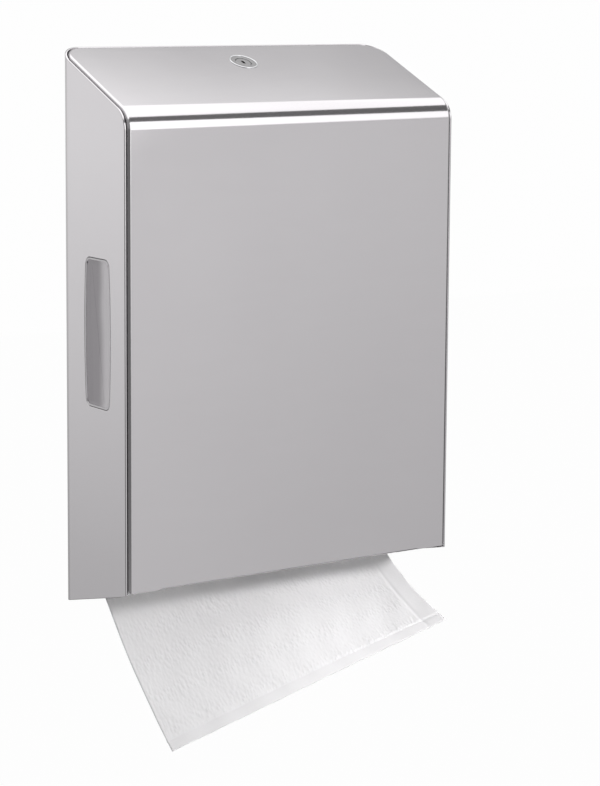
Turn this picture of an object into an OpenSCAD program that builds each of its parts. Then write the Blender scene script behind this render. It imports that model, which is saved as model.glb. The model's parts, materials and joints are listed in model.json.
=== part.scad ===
// Wall-hung dispenser for Z-folded paper towels: a steel cabinet with a drop-front door,
// a cam lock in its sloping top, a window in each side and a floor with a throat slot.
// X runs left to right, the door faces -Y, the wall is the plane y = 0 and Z is up.
// The origin is the centre of the wall holes on the back face.

/* [Cabinet] */
// Overall width
body_w = 265; // [232:1:320]
// Depth from the wall to the face of the door
body_d = 92; // [90:1:130]
// Height of the front, from its bottom edge to the corner where it would meet the sloping top
front_h = 316; // [300:1:400]
// Slope of the top, rising towards the wall
slope_deg = 23.75; // [16:0.25:30]
// Slope of the sides' bottom edges, falling towards the wall
skirt_deg = 13.75; // [5:0.25:18]
// How far the sides' bottom edges start below the bottom edge of the front
skirt_drop = 1.4; // [0:0.1:3]
// Outer radius of the wrapped corners at the back
rear_r = 16.5; // [12:0.5:24]
// Thickness of the steel sheet
sheet_t = 1; // [0.7:0.1:1.4]
// Width of the flanges turned in along the sides' front and top edges
flange_w = 10; // [9:0.5:12]
// Height of the flanges' lower ends above the bottom edge of the front
flange_start = 30; // [26:1:60]

/* [Door] */
// Outer radius of the bend between the front and the top
bend_r = 17; // [10:0.5:24]
// Outer radius of the door's rolled edges
roll_r = 2; // [1.5:0.1:2.5]
// Depth of the door's turned-in edges
edge_return = 5; // [4:0.1:6]
// Seam between the door's edges and the cabinet
seam_gap = 0.5; // [0.3:0.1:1]

/* [Hinge] */
// Distance of the hinge axis behind the face of the door
hinge_back = 5; // [4.8:0.1:6]
// Height of the hinge axis above the bottom edge of the front
hinge_up = 1; // [0.5:0.1:2]
// Diameter of the hinge pins
hinge_pin_d = 3; // [2.4:0.1:3.4]
// Running clearance round each hinge pin
pin_clear = 0.05; // [0.02:0.01:0.1]
// Outer radius of the lugs and ears round the pins
lug_r = 3; // [2.6:0.1:3.2]
// Thickness of the lugs and brackets
bracket_t = 1.2; // [1:0.1:1.4]
// Length of the hinge brackets' flange along the sides
bracket_l = 14; // [10:0.5:24]
// Height of the lugs and brackets
bracket_h = 20; // [14:0.5:22]
// Width of the lugs' flange on the door
lug_w = 16; // [12:0.5:24]

/* [Windows] */
// Height of the window openings
window_h = 100; // [70:1:120]
// Width of the window openings at the middle
window_w = 34.5; // [28:0.5:40]
// How far the window's long sides bow out
window_bow = 2.5; // [2:0.5:6]
// Corner radius of the window openings
window_corner_r = 5; // [3:0.5:8]
// Height of the window's middle above the bottom edge of the front
window_z = 169; // [150:1:190]
// Distance of the window's middle behind the face of the door, as a share of the depth
window_share = 0.4076; // [0.39:0.0001:0.45]
// Width of the trim round each window
rim_w = 1.5; // [1:0.1:2.5]
// How far the trim stands proud of the side
rim_proud = 0.4; // [0.2:0.1:1]
// How far the lens lies below the face of the side
lens_recess = 0.3; // [0.1:0.1:0.5]
// Overlap of the lens's flange behind the sheet
lens_lap = 5; // [3:0.5:7]
// Thickness of the lens's flange
lens_t = 1.5; // [1:0.1:2]
// Thickness of the retainers
retainer_t = 0.8; // [0.5:0.1:1.2]
// Diameter of the retainer studs
stud_d = 3; // [2:0.1:4]

/* [Lock] */
// Distance of the lock's centre from the wall, along the wall's normal
lock_from_wall = 26; // [26:0.5:32]
// Diameter of the lock's face
lock_face_d = 20.6; // [20:0.1:24]
// Height of the lock's face above the sheet
lock_face_h = 1.6; // [1:0.1:2.5]
// Diameter of the lock's barrel
barrel_d = 16; // [15:0.1:17]
// Length of the barrel below the face of the sheet
barrel_l = 14.3; // [12:0.1:16]
// Diameter of the lock's plug
plug_d = 11; // [9:0.1:12]
// Width across the flats of the lock's nut
nut_af = 20; // [19:0.1:21]
// Thickness of the lock's nut
nut_t = 4; // [3:0.1:4.5]
// Reach of the cam from the plug's axis
cam_l = 15; // [13:0.5:17]
// Width of the cam
cam_w = 10; // [8:0.5:11]
// Thickness of the cam
cam_t = 2; // [1.5:0.1:2.5]

/* [Tray] */
// Height of the tray's floor above the sides' bottom edges
tray_up = 3; // [2:0.1:6]
// Distance of the tray's front edge behind the face of the door
tray_front = 12; // [11.5:0.1:13]
// Front edge of the throat slot, behind the face of the door
throat_front = 36; // [30:0.5:44]
// Back edge of the throat slot, behind the face of the door
throat_back = 70; // [64:0.5:78]
// Radius of the beads that the slot's edges are rolled into
bead_r = 1.5; // [1:0.1:2]
// Height of the tray's upturned lips
tray_lip = 8; // [5:0.5:12]

/* [Towels] */
// Room on each side between the towels and the cabinet's outer face
towel_room = 14.5; // [13.5:0.5:32.5]
// Height of the pack of towels
pack_h = 238; // [60:1:250]
// Clearance round the pack
pack_clear = 1.5; // [1:0.1:2]
// Gap between the pack and the floor that it lies on
pack_gap = 0.3; // [0.2:0.05:0.4]
// Thickness of the hanging towel, with its embossing
towel_t = 0.8; // [0.5:0.1:1.2]
// Where the hanging towel leaves the pack, behind the face of the door
towel_back = 57; // [50:0.5:60]
// How far the towel's left corner hangs forward of the throat
hang_forward_left = 91; // [60:1:110]
// How far the towel's left corner hangs below the throat
hang_down_left = 88; // [60:1:110]
// How far the towel's right corner hangs forward of the throat
hang_forward_right = 70; // [40:1:90]
// How far the towel's right corner hangs below the throat
hang_down_right = 42; // [30:1:80]
// Height of the towel's gentle fold across its width
towel_wave = 4; // [0:0.5:8]

/* [Wall mounting] */
// Diameter of the wall holes
wall_hole_d = 6.5; // [4:0.1:9]
// Spacing of the wall holes across
wall_hole_x = 180; // [100:1:200]
// Spacing of the wall holes up and down
wall_hole_z = 230; // [120:1:250]
// Height of the wall holes' centre above the bottom edge of the front
wall_hole_up = 165; // [155:1:175]

/* [Hidden] */
$fn = 64;

// Overshoot of a cut past the face that it opens
cut = 1;
// Room that every cut leaves on a large scale
far = 2 * (body_w + body_d + front_h);

// Finishes
steel = [0.76, 0.76, 0.77];
inner_steel = [0.66, 0.66, 0.67];
bright_steel = [0.85, 0.85, 0.86];
smoked = [0.45, 0.46, 0.48, 0.8];
trim_grey = [0.62, 0.62, 0.63];
rubber_black = [0.12, 0.12, 0.12];
paper_white = [0.95, 0.95, 0.94];

// Side view: y runs from the door's face to the wall, z from the bottom edge of the front
front_y = -body_d;
inner_x = body_w / 2 - sheet_t;
shell_inset = edge_return + seam_gap;
bend_y = front_y + bend_r;
bend_z = front_h + bend_r * tan(slope_deg) - bend_r / cos(slope_deg);

function from_front(back) = front_y + back;
function slope_z(y) = front_h + (y - front_y) * tan(slope_deg);
function under_slope(y, depth) = slope_z(y) - depth / cos(slope_deg);
function skirt_z(y) = -skirt_drop - (y - front_y) * tan(skirt_deg);
function floor_top(y) = skirt_z(y) + tray_up + sheet_t;
function blend(a, b, t) = a + (b - a) * t;

// Hinge: the lugs ride between the brackets' ears and the clips
hinge_y = from_front(hinge_back);
hinge_r = hinge_pin_d / 2;
ear_set = 4;
lug_gap = 1.5;
ear_x = inner_x - ear_set;
lug_x = ear_x - lug_gap - bracket_t;
web_gap = 1.5;
web_back = hinge_back + lug_r + web_gap;
pin_head_t = 1.5;
pin_head_lip = 1.3;
pin_head_r = hinge_r + pin_head_lip;
clip_gap = 0.6;
clip_t = 0.8;
clip_x = lug_x - clip_gap - clip_t;
clip_inset = 0.4;
clip_r = lug_r - clip_inset;
groove_depth = 0.4;
clip_groove_r = hinge_r - groove_depth;
clip_fit = 0.05;
pin_tail = 1;
stop_gap = 0.3;
nose_h = 1;
nose_reach = 3;
nose_l = lug_r + nose_reach;
stop_t = 1.2;
stop_clear = 1;
stop_low = lug_r + stop_clear;
stop_over = 0.5;
stop_high = nose_l + stop_over;
lug_bottom = 2.5;
trim_over = 0.2;
roll_trim = hinge_up + trim_over;
hem_h = 8;
hem_clear = 4;
hem_half = lug_x + bracket_t - lug_w - hem_clear;

// Rolled edges: their arcs cross the door's faces at a slight angle, and their three runs overlap
roll_ease = 0.02;
run_lap = 0.5;
bend_lap_deg = 2;

// Latch: the rail lies below the door's rim, the strike hooks in front of the turned cam
rail_t = 1.2;
rail_clear = 1.5;
rail_depth = shell_inset + rail_clear;
rail_reach = 12;
rail_half = body_w / 2 - rear_r;
lock_y = -lock_from_wall;
barrel_r = barrel_d / 2;
barrel_fit = 0.2;
seat_gap = 0.02;
thread_fit = 0.05;
plug_fit = 0.05;
washer_t = 1;
washer_lip = 1;
washer_r = nut_af / 2 + washer_lip;
shank_r = 3.5;
cam_gap = 0.2;
cam_top = barrel_l + cam_gap;
face_rim = 2.2;
face_dish_r = lock_face_d / 2 - face_rim;
face_dish = 0.6;
face_edge = 0.8;
keyway_w = 1.2;
keyway_l = 6.5;
keyway_depth = 8;
screw_head_r = 5;
screw_head_t = 2.4;
screw_r = 2;
screw_l = 7;
strike_t = 1.5;
strike_gap = 0.6;
strike_w = 10;
strike_clear = 1.8;
strike_inner = barrel_r + strike_clear;
arm_clear = 1.2;
arm_depth = cam_top + cam_t + arm_clear;
hook_h = 6;
foot_l = 22;
foot_y = -sheet_t - rail_t - strike_t;
foot_low = under_slope(foot_y, arm_depth + strike_t / 2) - foot_l;
rail_edge = 3;
rivet_r = 1.6;
rivet_head_r = 3;
rivet_head_t = 1;
rivet_pitch = 10;
rivet_edge = 5;

// Window: the corner circles touch the bowed sides and the ends from inside
window_y = from_front(body_d * window_share);
bow_r = (pow(window_h / 2, 2) + pow(window_bow, 2)) / (2 * window_bow);
bow_y = window_w / 2 - bow_r;
corner_z = window_h / 2 - window_corner_r;
corner_y = bow_y + sqrt(pow(bow_r - window_corner_r, 2) - pow(corner_z, 2));
rim_fit = 0.1;
lens_fit = 0.1;
retainer_lap = 1;
stud_r = stud_d / 2;
stud_l = 5;
stud_fit = 0.1;
stud_clear = 2.5;
stud_up = window_h / 2 + lens_lap + stud_r + stud_clear;
stud_edge = 3;
retainer_end = stud_r + stud_edge;
push_nut_lip = 2;
push_nut_r = stud_r + push_nut_lip;
push_nut_t = 1;

// Inside fittings
lip_half = lug_x - lug_w;
towel_w = body_w - 2 * towel_room;
throat_clear = 4;
throat_half = towel_w / 2 + throat_clear;
guide_gap = 3.75;
guide_front_y = window_y + window_w / 2 + lens_lap + guide_gap;
guide_corner_gap = 2.5;
guide_rear_y = -rear_r - guide_corner_gap;
guide_low = 14;
guide_below_bend = 18;
guide_high = bend_z - guide_below_bend;
pack_half = towel_w / 2;
pack_rear_y = -sheet_t - rail_t - pack_clear;
pack_front_y = from_front(tray_front) + sheet_t + pack_clear;
bumper_r = 4;
bumper_touch = 0.3;
bumper_base = 1.2;
bumper_x = inner_x - flange_w / 2;
bumper_low = 60;
bumper_below_bend = 30;
bumper_heights = [bumper_low, bend_z - bumper_below_bend];

// Hanging towel: a grid of rows down the sheet and columns across it
towel_columns = 20;
towel_rows = 14;
towel_y = from_front(towel_back);
towel_z = floor_top(towel_y);
hang_forward = (hang_forward_left + hang_forward_right) / 2;
hang_down = (hang_down_left + hang_down_right) / 2;
hang_length = norm([hang_forward, hang_down]);
towel_under = [0, hang_down, -hang_forward] / hang_length;
forward_power = 1.2;
drop_power = 0.85;

// Shared placing

module at_wall() {
    translate([0, 0, -wall_hole_up])
        children();
}

module along_x(width) {
    rotate([90, 0, 90])
        linear_extrude(width, center = true)
            children();
}

// Side view outline extruded across from one x to another
module between_x(from_x, to_x) {
    translate([(from_x + to_x) / 2, 0, 0])
        along_x(abs(to_x - from_x))
            children();
}

// Right-hand piece for side = 1, left-hand piece for side = -1
module on_side(side) {
    mirror([side < 0 ? 1 : 0, 0, 0])
        children();
}

// Local z points out of the sloping top at the lock, local y runs up the slope
module at_lock() {
    translate([0, lock_y, slope_z(lock_y)])
        rotate([slope_deg, 0, 0])
            children();
}

// Cylinder along x from one x to another, at a point of the side view
module bar_x(from_x, to_x, y, z, r) {
    translate([from_x, y, z])
        rotate([0, 90, 0])
            cylinder(h = to_x - from_x, r = r);
}

// Outlines

// Side view of the cabinet, inset from the faces of the front and top, down to its bottom edge
// at the front and at the back
module side_area(inset, front_low, back_low) {
    edge_y = front_y + inset;
    arc_r = bend_r - inset;
    polygon([
        [edge_y, front_low],
        [edge_y, bend_z],
        [bend_y - arc_r * sin(slope_deg), bend_z + arc_r * cos(slope_deg)],
        [cut, under_slope(cut, inset)],
        [cut, back_low]
    ]);
    translate([bend_y, bend_z])
        circle(arc_r);
}

// Side view down to the sloping bottom edges of the sides
module shell_area(inset) {
    side_area(inset, skirt_z(front_y + inset), skirt_z(cut));
}

// Plan of the cabinet with its wrapped corners, inset from the outer faces, open to the front
module plan_area(inset) {
    half = body_w / 2 - inset;
    arc_r = rear_r - inset;
    translate([-half, front_y - cut])
        square([2 * half, body_d + cut - rear_r]);
    translate([-half + arc_r, front_y - cut])
        square([2 * (half - arc_r), body_d + cut - inset]);
    for (side = [-1, 1])
        translate([side * (half - arc_r), -rear_r])
            circle(arc_r);
}

module plan_block(inset) {
    translate([0, 0, -far / 2])
        linear_extrude(far)
            plan_area(inset);
}

// Window outline about its middle, grown outwards all round
module window_shape(grow) {
    top = window_h / 2 + grow;
    side = window_w / 2 + grow;
    tangent = [corner_y - bow_y, corner_z] / (bow_r - window_corner_r);
    difference() {
        intersection() {
            square([2 * side, 2 * top], center = true);
            translate([bow_y, 0])
                circle(bow_r + grow, $fn = 256);
            translate([-bow_y, 0])
                circle(bow_r + grow, $fn = 256);
        }
        for (flip_y = [0, 1], flip_z = [0, 1])
            mirror([flip_y, 0])
                mirror([0, flip_z])
                    polygon([
                        [corner_y, corner_z],
                        [corner_y, top + cut],
                        [side + cut, top + cut],
                        [bow_y, 0] + (bow_r + grow + cut) * tangent
                    ]);
    }
    for (flip_y = [-1, 1], flip_z = [-1, 1])
        translate([flip_y * corner_y, flip_z * corner_z])
            circle(window_corner_r + grow);
}

module at_window() {
    translate([window_y, window_z])
        children();
}

// Chassis

module body_shell() {
    color(steel)
        at_wall()
            difference() {
                union() {
                    intersection() {
                        along_x(body_w)
                            shell_area(shell_inset);
                        difference() {
                            plan_block(0);
                            plan_block(sheet_t);
                        }
                    }
                    for (side = [-1, 1])
                        on_side(side)
                            between_x(inner_x - flange_w, inner_x)
                                side_flange();
                }
                between_x(-far, far)
                    at_window()
                        window_shape(0);
                wall_holes();
            }
}

// Side view of the turned-in flange along the front, the bend and the top
module side_flange() {
    difference() {
        intersection() {
            shell_area(shell_inset);
            translate([front_y, flange_start])
                square([body_d - rear_r, far]);
        }
        shell_area(shell_inset + sheet_t);
    }
}

module wall_holes() {
    for (side = [-1, 1], row = [-1, 1])
        translate([side * wall_hole_x / 2, cut, wall_hole_up + row * wall_hole_z / 2])
            rotate([90, 0, 0])
                cylinder(h = sheet_t + 2 * cut, d = wall_hole_d);
}

module towel_tray() {
    slot_front = from_front(throat_front);
    slot_back = from_front(throat_back);
    color(inner_steel)
        at_wall() {
            difference() {
                intersection() {
                    along_x(body_w)
                        floor_band(from_front(tray_front), 0);
                    plan_block(sheet_t);
                }
                between_x(-throat_half, throat_half)
                    translate([slot_front, -far / 2])
                        square([slot_back - slot_front, far]);
            }
            for (y = [slot_front, slot_back])
                bar_x(-throat_half, throat_half, y, floor_top(y) - bead_r, bead_r);
            between_x(-lip_half, lip_half)
                upright_lip(from_front(tray_front));
            between_x(-rail_half, rail_half)
                upright_lip(-2 * sheet_t);
        }
}

// Side view of the tray's floor from one y to another, parallel to the sides' bottom edges
module floor_band(from_y, to_y) {
    polygon([
        [from_y, floor_top(from_y) - sheet_t],
        [from_y, floor_top(from_y)],
        [to_y, floor_top(to_y)],
        [to_y, floor_top(to_y) - sheet_t]
    ]);
}

module upright_lip(y) {
    translate([y, floor_top(y) - sheet_t])
        square([sheet_t, tray_lip]);
}

module latch_rail() {
    leg_y = -sheet_t - rail_t;
    color(inner_steel)
        at_wall()
            difference() {
                along_x(2 * rail_half)
                    polygon([
                        [-rail_reach, under_slope(-rail_reach, rail_depth)],
                        [-sheet_t, under_slope(-sheet_t, rail_depth)],
                        [-sheet_t, foot_low - rail_edge],
                        [leg_y, foot_low - rail_edge],
                        [leg_y, under_slope(leg_y, rail_depth + rail_t)],
                        [-rail_reach, under_slope(-rail_reach, rail_depth + rail_t)]
                    ]);
                rivet_bars(rivet_r + thread_fit, -sheet_t + cut, leg_y - cut);
            }
}

// Side view frame of the lock: local x runs up the slope, local y out of the top
module slope_view() {
    translate([lock_y, slope_z(lock_y)])
        rotate(slope_deg)
            children();
}

module latch_strike() {
    hook_s = -cam_w / 2 - strike_gap - strike_t;
    color(bright_steel)
        at_wall()
            difference() {
                between_x(-strike_inner - strike_w, -strike_inner) {
                    intersection() {
                        slope_view()
                            translate([hook_s, -arm_depth - strike_t])
                                square([far, strike_t]);
                        translate([front_y, 0])
                            square([foot_y + strike_t - front_y, far]);
                    }
                    slope_view()
                        translate([hook_s, -arm_depth - strike_t])
                            square([strike_t, hook_h]);
                    translate([foot_y, foot_low])
                        square([strike_t, foot_l]);
                }
                rivet_bars(rivet_r + thread_fit, -sheet_t + cut, foot_y - cut);
            }
}

// Two bars along y through the strike's foot
module rivet_bars(r, from_y, to_y) {
    for (row = [0, 1])
        translate([-strike_inner - strike_w / 2, from_y, foot_low + rivet_edge + row * rivet_pitch])
            rotate([90, 0, 0])
                cylinder(h = from_y - to_y, r = r);
}

module strike_rivets() {
    color(bright_steel)
        at_wall() {
            rivet_bars(rivet_r, -sheet_t, foot_y);
            rivet_bars(rivet_head_r, foot_y, foot_y - rivet_head_t);
        }
}

module hinge_bracket(side) {
    web_y = from_front(web_back);
    top_z = lug_bottom + bracket_h;
    color(inner_steel)
        at_wall()
            on_side(side)
                difference() {
                    union() {
                        between_x(inner_x - bracket_t, inner_x)
                            translate([web_y, lug_bottom])
                                square([bracket_l, bracket_h]);
                        between_x(ear_x, inner_x)
                            translate([web_y, lug_bottom])
                                square([bracket_t, bracket_h]);
                        between_x(ear_x, ear_x + bracket_t)
                            ear_outline(web_y + bracket_t, top_z);
                        between_x(lug_x, ear_x)
                            translate([hinge_y - nose_h - stop_gap - stop_t, hinge_up + stop_low])
                                square([stop_t, stop_high - stop_low]);
                    }
                    bar_x(lug_x, inner_x, hinge_y, hinge_up, hinge_r);
                }
}

// Side view of a bracket's ear: round the pin, back to the web and up to the stop tab
module ear_outline(back_y, top_z) {
    stop_y = hinge_y - nose_h - stop_gap - stop_t;
    translate([hinge_y, hinge_up])
        circle(lug_r);
    translate([hinge_y, hinge_up - lug_r])
        square([back_y - hinge_y, 2 * lug_r]);
    translate([stop_y, hinge_up])
        square([back_y - stop_y, stop_high]);
}

module hinge_pin(side) {
    head_x = ear_x + bracket_t;
    color(bright_steel)
        at_wall()
            on_side(side)
                difference() {
                    union() {
                        bar_x(clip_x - pin_tail, head_x, hinge_y, hinge_up, hinge_r);
                        bar_x(head_x, head_x + pin_head_t, hinge_y, hinge_up, pin_head_r);
                    }
                    difference() {
                        bar_x(clip_x, clip_x + clip_t, hinge_y, hinge_up, hinge_r + cut);
                        bar_x(clip_x, clip_x + clip_t, hinge_y, hinge_up, clip_groove_r);
                    }
                }
}

module pin_clips() {
    color(bright_steel)
        at_wall()
            for (side = [-1, 1])
                on_side(side)
                    difference() {
                        bar_x(clip_x + clip_fit, clip_x + clip_t - clip_fit, hinge_y, hinge_up, clip_r);
                        bar_x(clip_x, clip_x + clip_t, hinge_y, hinge_up, clip_groove_r + clip_fit);
                        between_x(clip_x, clip_x + clip_t)
                            translate([hinge_y - clip_groove_r, hinge_up - 2 * clip_r])
                                square([2 * clip_groove_r, 2 * clip_r]);
                    }
}

module window_rim(side) {
    color(trim_grey)
        at_wall()
            on_side(side)
                between_x(inner_x, body_w / 2 + rim_proud)
                    at_window()
                        difference() {
                            window_shape(-rim_fit);
                            window_shape(-rim_fit - rim_w);
                        }
}

module window_lens(side) {
    color(smoked)
        at_wall()
            on_side(side) {
                between_x(inner_x - lens_t, inner_x)
                    at_window()
                        window_shape(lens_lap);
                between_x(inner_x, body_w / 2 - lens_recess)
                    at_window()
                        window_shape(-rim_fit - rim_w - lens_fit);
            }
}

module window_retainer(side) {
    color(inner_steel)
        at_wall()
            on_side(side)
                between_x(inner_x - lens_t - retainer_t, inner_x - lens_t)
                    at_window()
                        difference() {
                            square([window_w + 2 * lens_lap, 2 * (stud_up + retainer_end)], center = true);
                            window_shape(-retainer_lap);
                            for (end = [-1, 1])
                                translate([0, end * stud_up])
                                    circle(stud_r + stud_fit);
                        }
}

// One bar per stud position on both sides, along x between two distances from the sheet
module stud_bars(near, deep, r) {
    for (side = [-1, 1], end = [-1, 1])
        on_side(side)
            bar_x(inner_x - deep, inner_x - near, window_y, window_z + end * stud_up, r);
}

module window_studs() {
    color(bright_steel)
        at_wall()
            stud_bars(0, stud_l, stud_r);
}

module window_nuts() {
    seat = lens_t + retainer_t;
    color(bright_steel)
        at_wall()
            difference() {
                stud_bars(seat, seat + push_nut_t, push_nut_r);
                stud_bars(0, stud_l, stud_r + thread_fit);
            }
}

module pack_guide(side) {
    guide_x = pack_half + pack_clear;
    guide_d = guide_rear_y - guide_front_y;
    guide_h = guide_high - guide_low;
    color(inner_steel)
        at_wall()
            on_side(side)
                difference() {
                    translate([guide_x, guide_front_y, guide_low])
                        cube([inner_x - guide_x, guide_d, guide_h]);
                    translate([guide_x + sheet_t, guide_front_y + sheet_t, guide_low - cut])
                        cube([far, guide_d - 2 * sheet_t, guide_h + 2 * cut]);
                }
}

module door_bumpers() {
    seat_y = from_front(shell_inset);
    length = shell_inset - sheet_t - bumper_touch;
    color(rubber_black)
        at_wall()
            for (side = [-1, 1], z = bumper_heights)
                translate([side * bumper_x, seat_y, z])
                    rotate([90, 0, 0]) {
                        cylinder(h = bumper_base, r = bumper_r);
                        cylinder(h = length, r1 = bumper_r - sheet_t / 2, r2 = bumper_r / 2);
                    }
}

module towel_pack() {
    color(paper_white)
        at_wall()
            along_x(2 * pack_half)
                polygon([
                    [pack_front_y, floor_top(pack_front_y) + pack_gap],
                    [pack_front_y, floor_top(pack_front_y) + pack_gap + pack_h],
                    [pack_rear_y, floor_top(pack_rear_y) + pack_gap + pack_h],
                    [pack_rear_y, floor_top(pack_rear_y) + pack_gap]
                ]);
}

// Door

module door_panel() {
    color(steel)
        at_wall()
            difference() {
                union() {
                    door_sheet();
                    along_x(2 * hem_half)
                        translate([from_front(sheet_t / 2), 0])
                            square([1.5 * sheet_t, hem_h]);
                }
                up_front()
                    edge_waste(2 * roll_ease);
                round_bend()
                    edge_waste(roll_ease);
                up_top()
                    edge_waste(2 * roll_ease);
                along_x(body_w + 2 * cut)
                    bottom_waste();
                for (side = [-1, 1])
                    on_side(side)
                        translate([body_w / 2 - roll_r, front_y - cut, -cut])
                            cube([far, edge_return + 2 * cut, roll_trim + cut]);
                at_lock()
                    translate([0, 0, -far / 2])
                        cylinder(h = far, r = barrel_r + barrel_fit);
            }
}

// Front and top in one sheet, with its edges turned in all round but at the bottom
module door_sheet() {
    difference() {
        intersection() {
            along_x(body_w)
                side_area(0, 0, 0);
            plan_block(0);
        }
        along_x(far)
            side_area(edge_return, -cut, -cut);
        intersection() {
            along_x(2 * inner_x)
                side_area(sheet_t, -cut, -cut);
            plan_block(sheet_t);
        }
    }
}

// A section, with x across the door and y inwards from its face, swept up the front
module up_front() {
    translate([0, front_y, -cut])
        linear_extrude(bend_z + cut + run_lap)
            children();
}

// The same section swept round the bend
module round_bend() {
    translate([0, bend_y, bend_z])
        rotate([0, 90, 0])
            rotate([0, 0, 180 + slope_deg - bend_lap_deg])
                rotate_extrude(angle = 90 - slope_deg + 2 * bend_lap_deg)
                    translate([bend_r, 0])
                        rotate(90)
                            children();
}

// The same section swept up the top
module up_top() {
    translate([0, bend_y - bend_r * sin(slope_deg), bend_z + bend_r * cos(slope_deg)])
        rotate([slope_deg - 90, 0, 0])
            translate([0, 0, -run_lap])
                linear_extrude(2 * body_d)
                    children();
}

// What the rolled edges leave out of the door's two square edges
module edge_waste(ease) {
    for (side = [0, 1])
        mirror([side, 0])
            translate([body_w / 2 - roll_r, 0])
                difference() {
                    translate([0, -cut])
                        square([roll_r + cut, roll_r + cut]);
                    translate([0, roll_r])
                        circle(roll_r + ease);
                }
}

// What the folded hem leaves out of the square bottom edge of the front
module bottom_waste() {
    difference() {
        translate([front_y - cut, -cut])
            square([sheet_t + cut, sheet_t + cut]);
        translate([front_y + sheet_t, sheet_t])
            circle(sheet_t);
    }
}

module hinge_lug(side) {
    face_y = from_front(sheet_t);
    outer_x = lug_x + bracket_t;
    color(inner_steel)
        at_wall()
            on_side(side)
                difference() {
                    union() {
                        between_x(outer_x - lug_w, outer_x)
                            translate([face_y, lug_bottom])
                                square([bracket_t, bracket_h]);
                        between_x(lug_x, outer_x)
                            lug_outline(face_y);
                    }
                    bar_x(0, body_w, hinge_y, hinge_up, hinge_r + pin_clear);
                }
}

// Side view of a lug: from the door's sheet round the pin, with the stop nose behind it
module lug_outline(face_y) {
    translate([hinge_y, hinge_up])
        circle(lug_r);
    translate([face_y, hinge_up])
        square([hinge_y - face_y, lug_r]);
    translate([hinge_y, hinge_up - nose_h])
        square([nose_l, 2 * nose_h]);
}

module lock_housing() {
    face_r = lock_face_d / 2;
    bore_r = plug_d / 2 + plug_fit;
    color(bright_steel)
        at_wall()
            at_lock()
                rotate_extrude()
                    polygon([
                        [bore_r, -barrel_l],
                        [barrel_r, -barrel_l],
                        [barrel_r, seat_gap],
                        [face_r, seat_gap],
                        [face_r, lock_face_h - face_edge],
                        [face_r - face_edge, lock_face_h],
                        [face_dish_r + face_dish, lock_face_h],
                        [face_dish_r, lock_face_h - face_dish],
                        [bore_r, lock_face_h - face_dish]
                    ]);
}

module lock_washer() {
    color(bright_steel)
        at_wall()
            at_lock()
                translate([0, 0, -sheet_t - washer_t])
                    difference() {
                        cylinder(h = washer_t, r = washer_r);
                        translate([0, 0, -cut])
                            cylinder(h = washer_t + 2 * cut, r = barrel_r + thread_fit);
                    }
}

module lock_nut() {
    color(inner_steel)
        at_wall()
            at_lock()
                translate([0, 0, -sheet_t - washer_t - nut_t])
                    difference() {
                        cylinder(h = nut_t, d = nut_af / cos(30), $fn = 6);
                        translate([0, 0, -cut])
                            cylinder(h = nut_t + 2 * cut, r = barrel_r + thread_fit);
                    }
}

// Lock core

module lock_plug() {
    face_z = lock_face_h - face_dish;
    color(steel)
        at_wall()
            at_lock()
                difference() {
                    union() {
                        translate([0, 0, -cam_top])
                            cylinder(h = cam_top + face_z, d = plug_d);
                        translate([0, 0, -cam_top - cam_t])
                            cylinder(h = cam_t, r = shank_r);
                    }
                    translate([-keyway_w / 2, -keyway_l / 2, face_z - keyway_depth])
                        cube([keyway_w, keyway_l, keyway_depth + cut]);
                    translate([0, 0, -cam_top - cam_t - cut])
                        cylinder(h = screw_l + cut + thread_fit, r = screw_r + thread_fit);
                }
}

module lock_cam() {
    hub_r = cam_w / 2;
    color(bright_steel)
        at_wall()
            at_lock()
                translate([0, 0, -cam_top - cam_t])
                    difference() {
                        union() {
                            cylinder(h = cam_t, r = hub_r);
                            translate([-cam_w / 2, 0, 0])
                                cube([cam_w, cam_l, cam_t]);
                        }
                        translate([0, 0, -cut])
                            cylinder(h = cam_t + 2 * cut, r = shank_r + thread_fit);
                    }
}

module cam_screw() {
    color(steel)
        at_wall()
            at_lock()
                translate([0, 0, -cam_top - cam_t - screw_head_t])
                    difference() {
                        union() {
                            cylinder(h = screw_head_t, r = screw_head_r);
                            cylinder(h = screw_head_t + screw_l, r = screw_r);
                        }
                        translate([-screw_head_r, -keyway_w / 2, -cut])
                            cube([2 * screw_head_r, keyway_w, cut + screw_head_t / 2]);
                    }
}

// Towel

// Point of the hanging towel: across runs from -1 at its left edge to 1, down from 0 to 1
function towel_point(across, down) =
    let (
        t = (across + 1) / 2,
        forward = blend(hang_forward_left, hang_forward_right, t),
        drop = blend(hang_down_left, hang_down_right, t),
        wave = towel_wave * sin(180 * down) * cos(180 * across)
    )
    [
        across * towel_w / 2,
        towel_y - forward * pow(down, blend(1, forward_power, t)) - wave * towel_under[1],
        towel_z - drop * pow(down, blend(1, drop_power, t)) - wave * towel_under[2]
    ];

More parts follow.
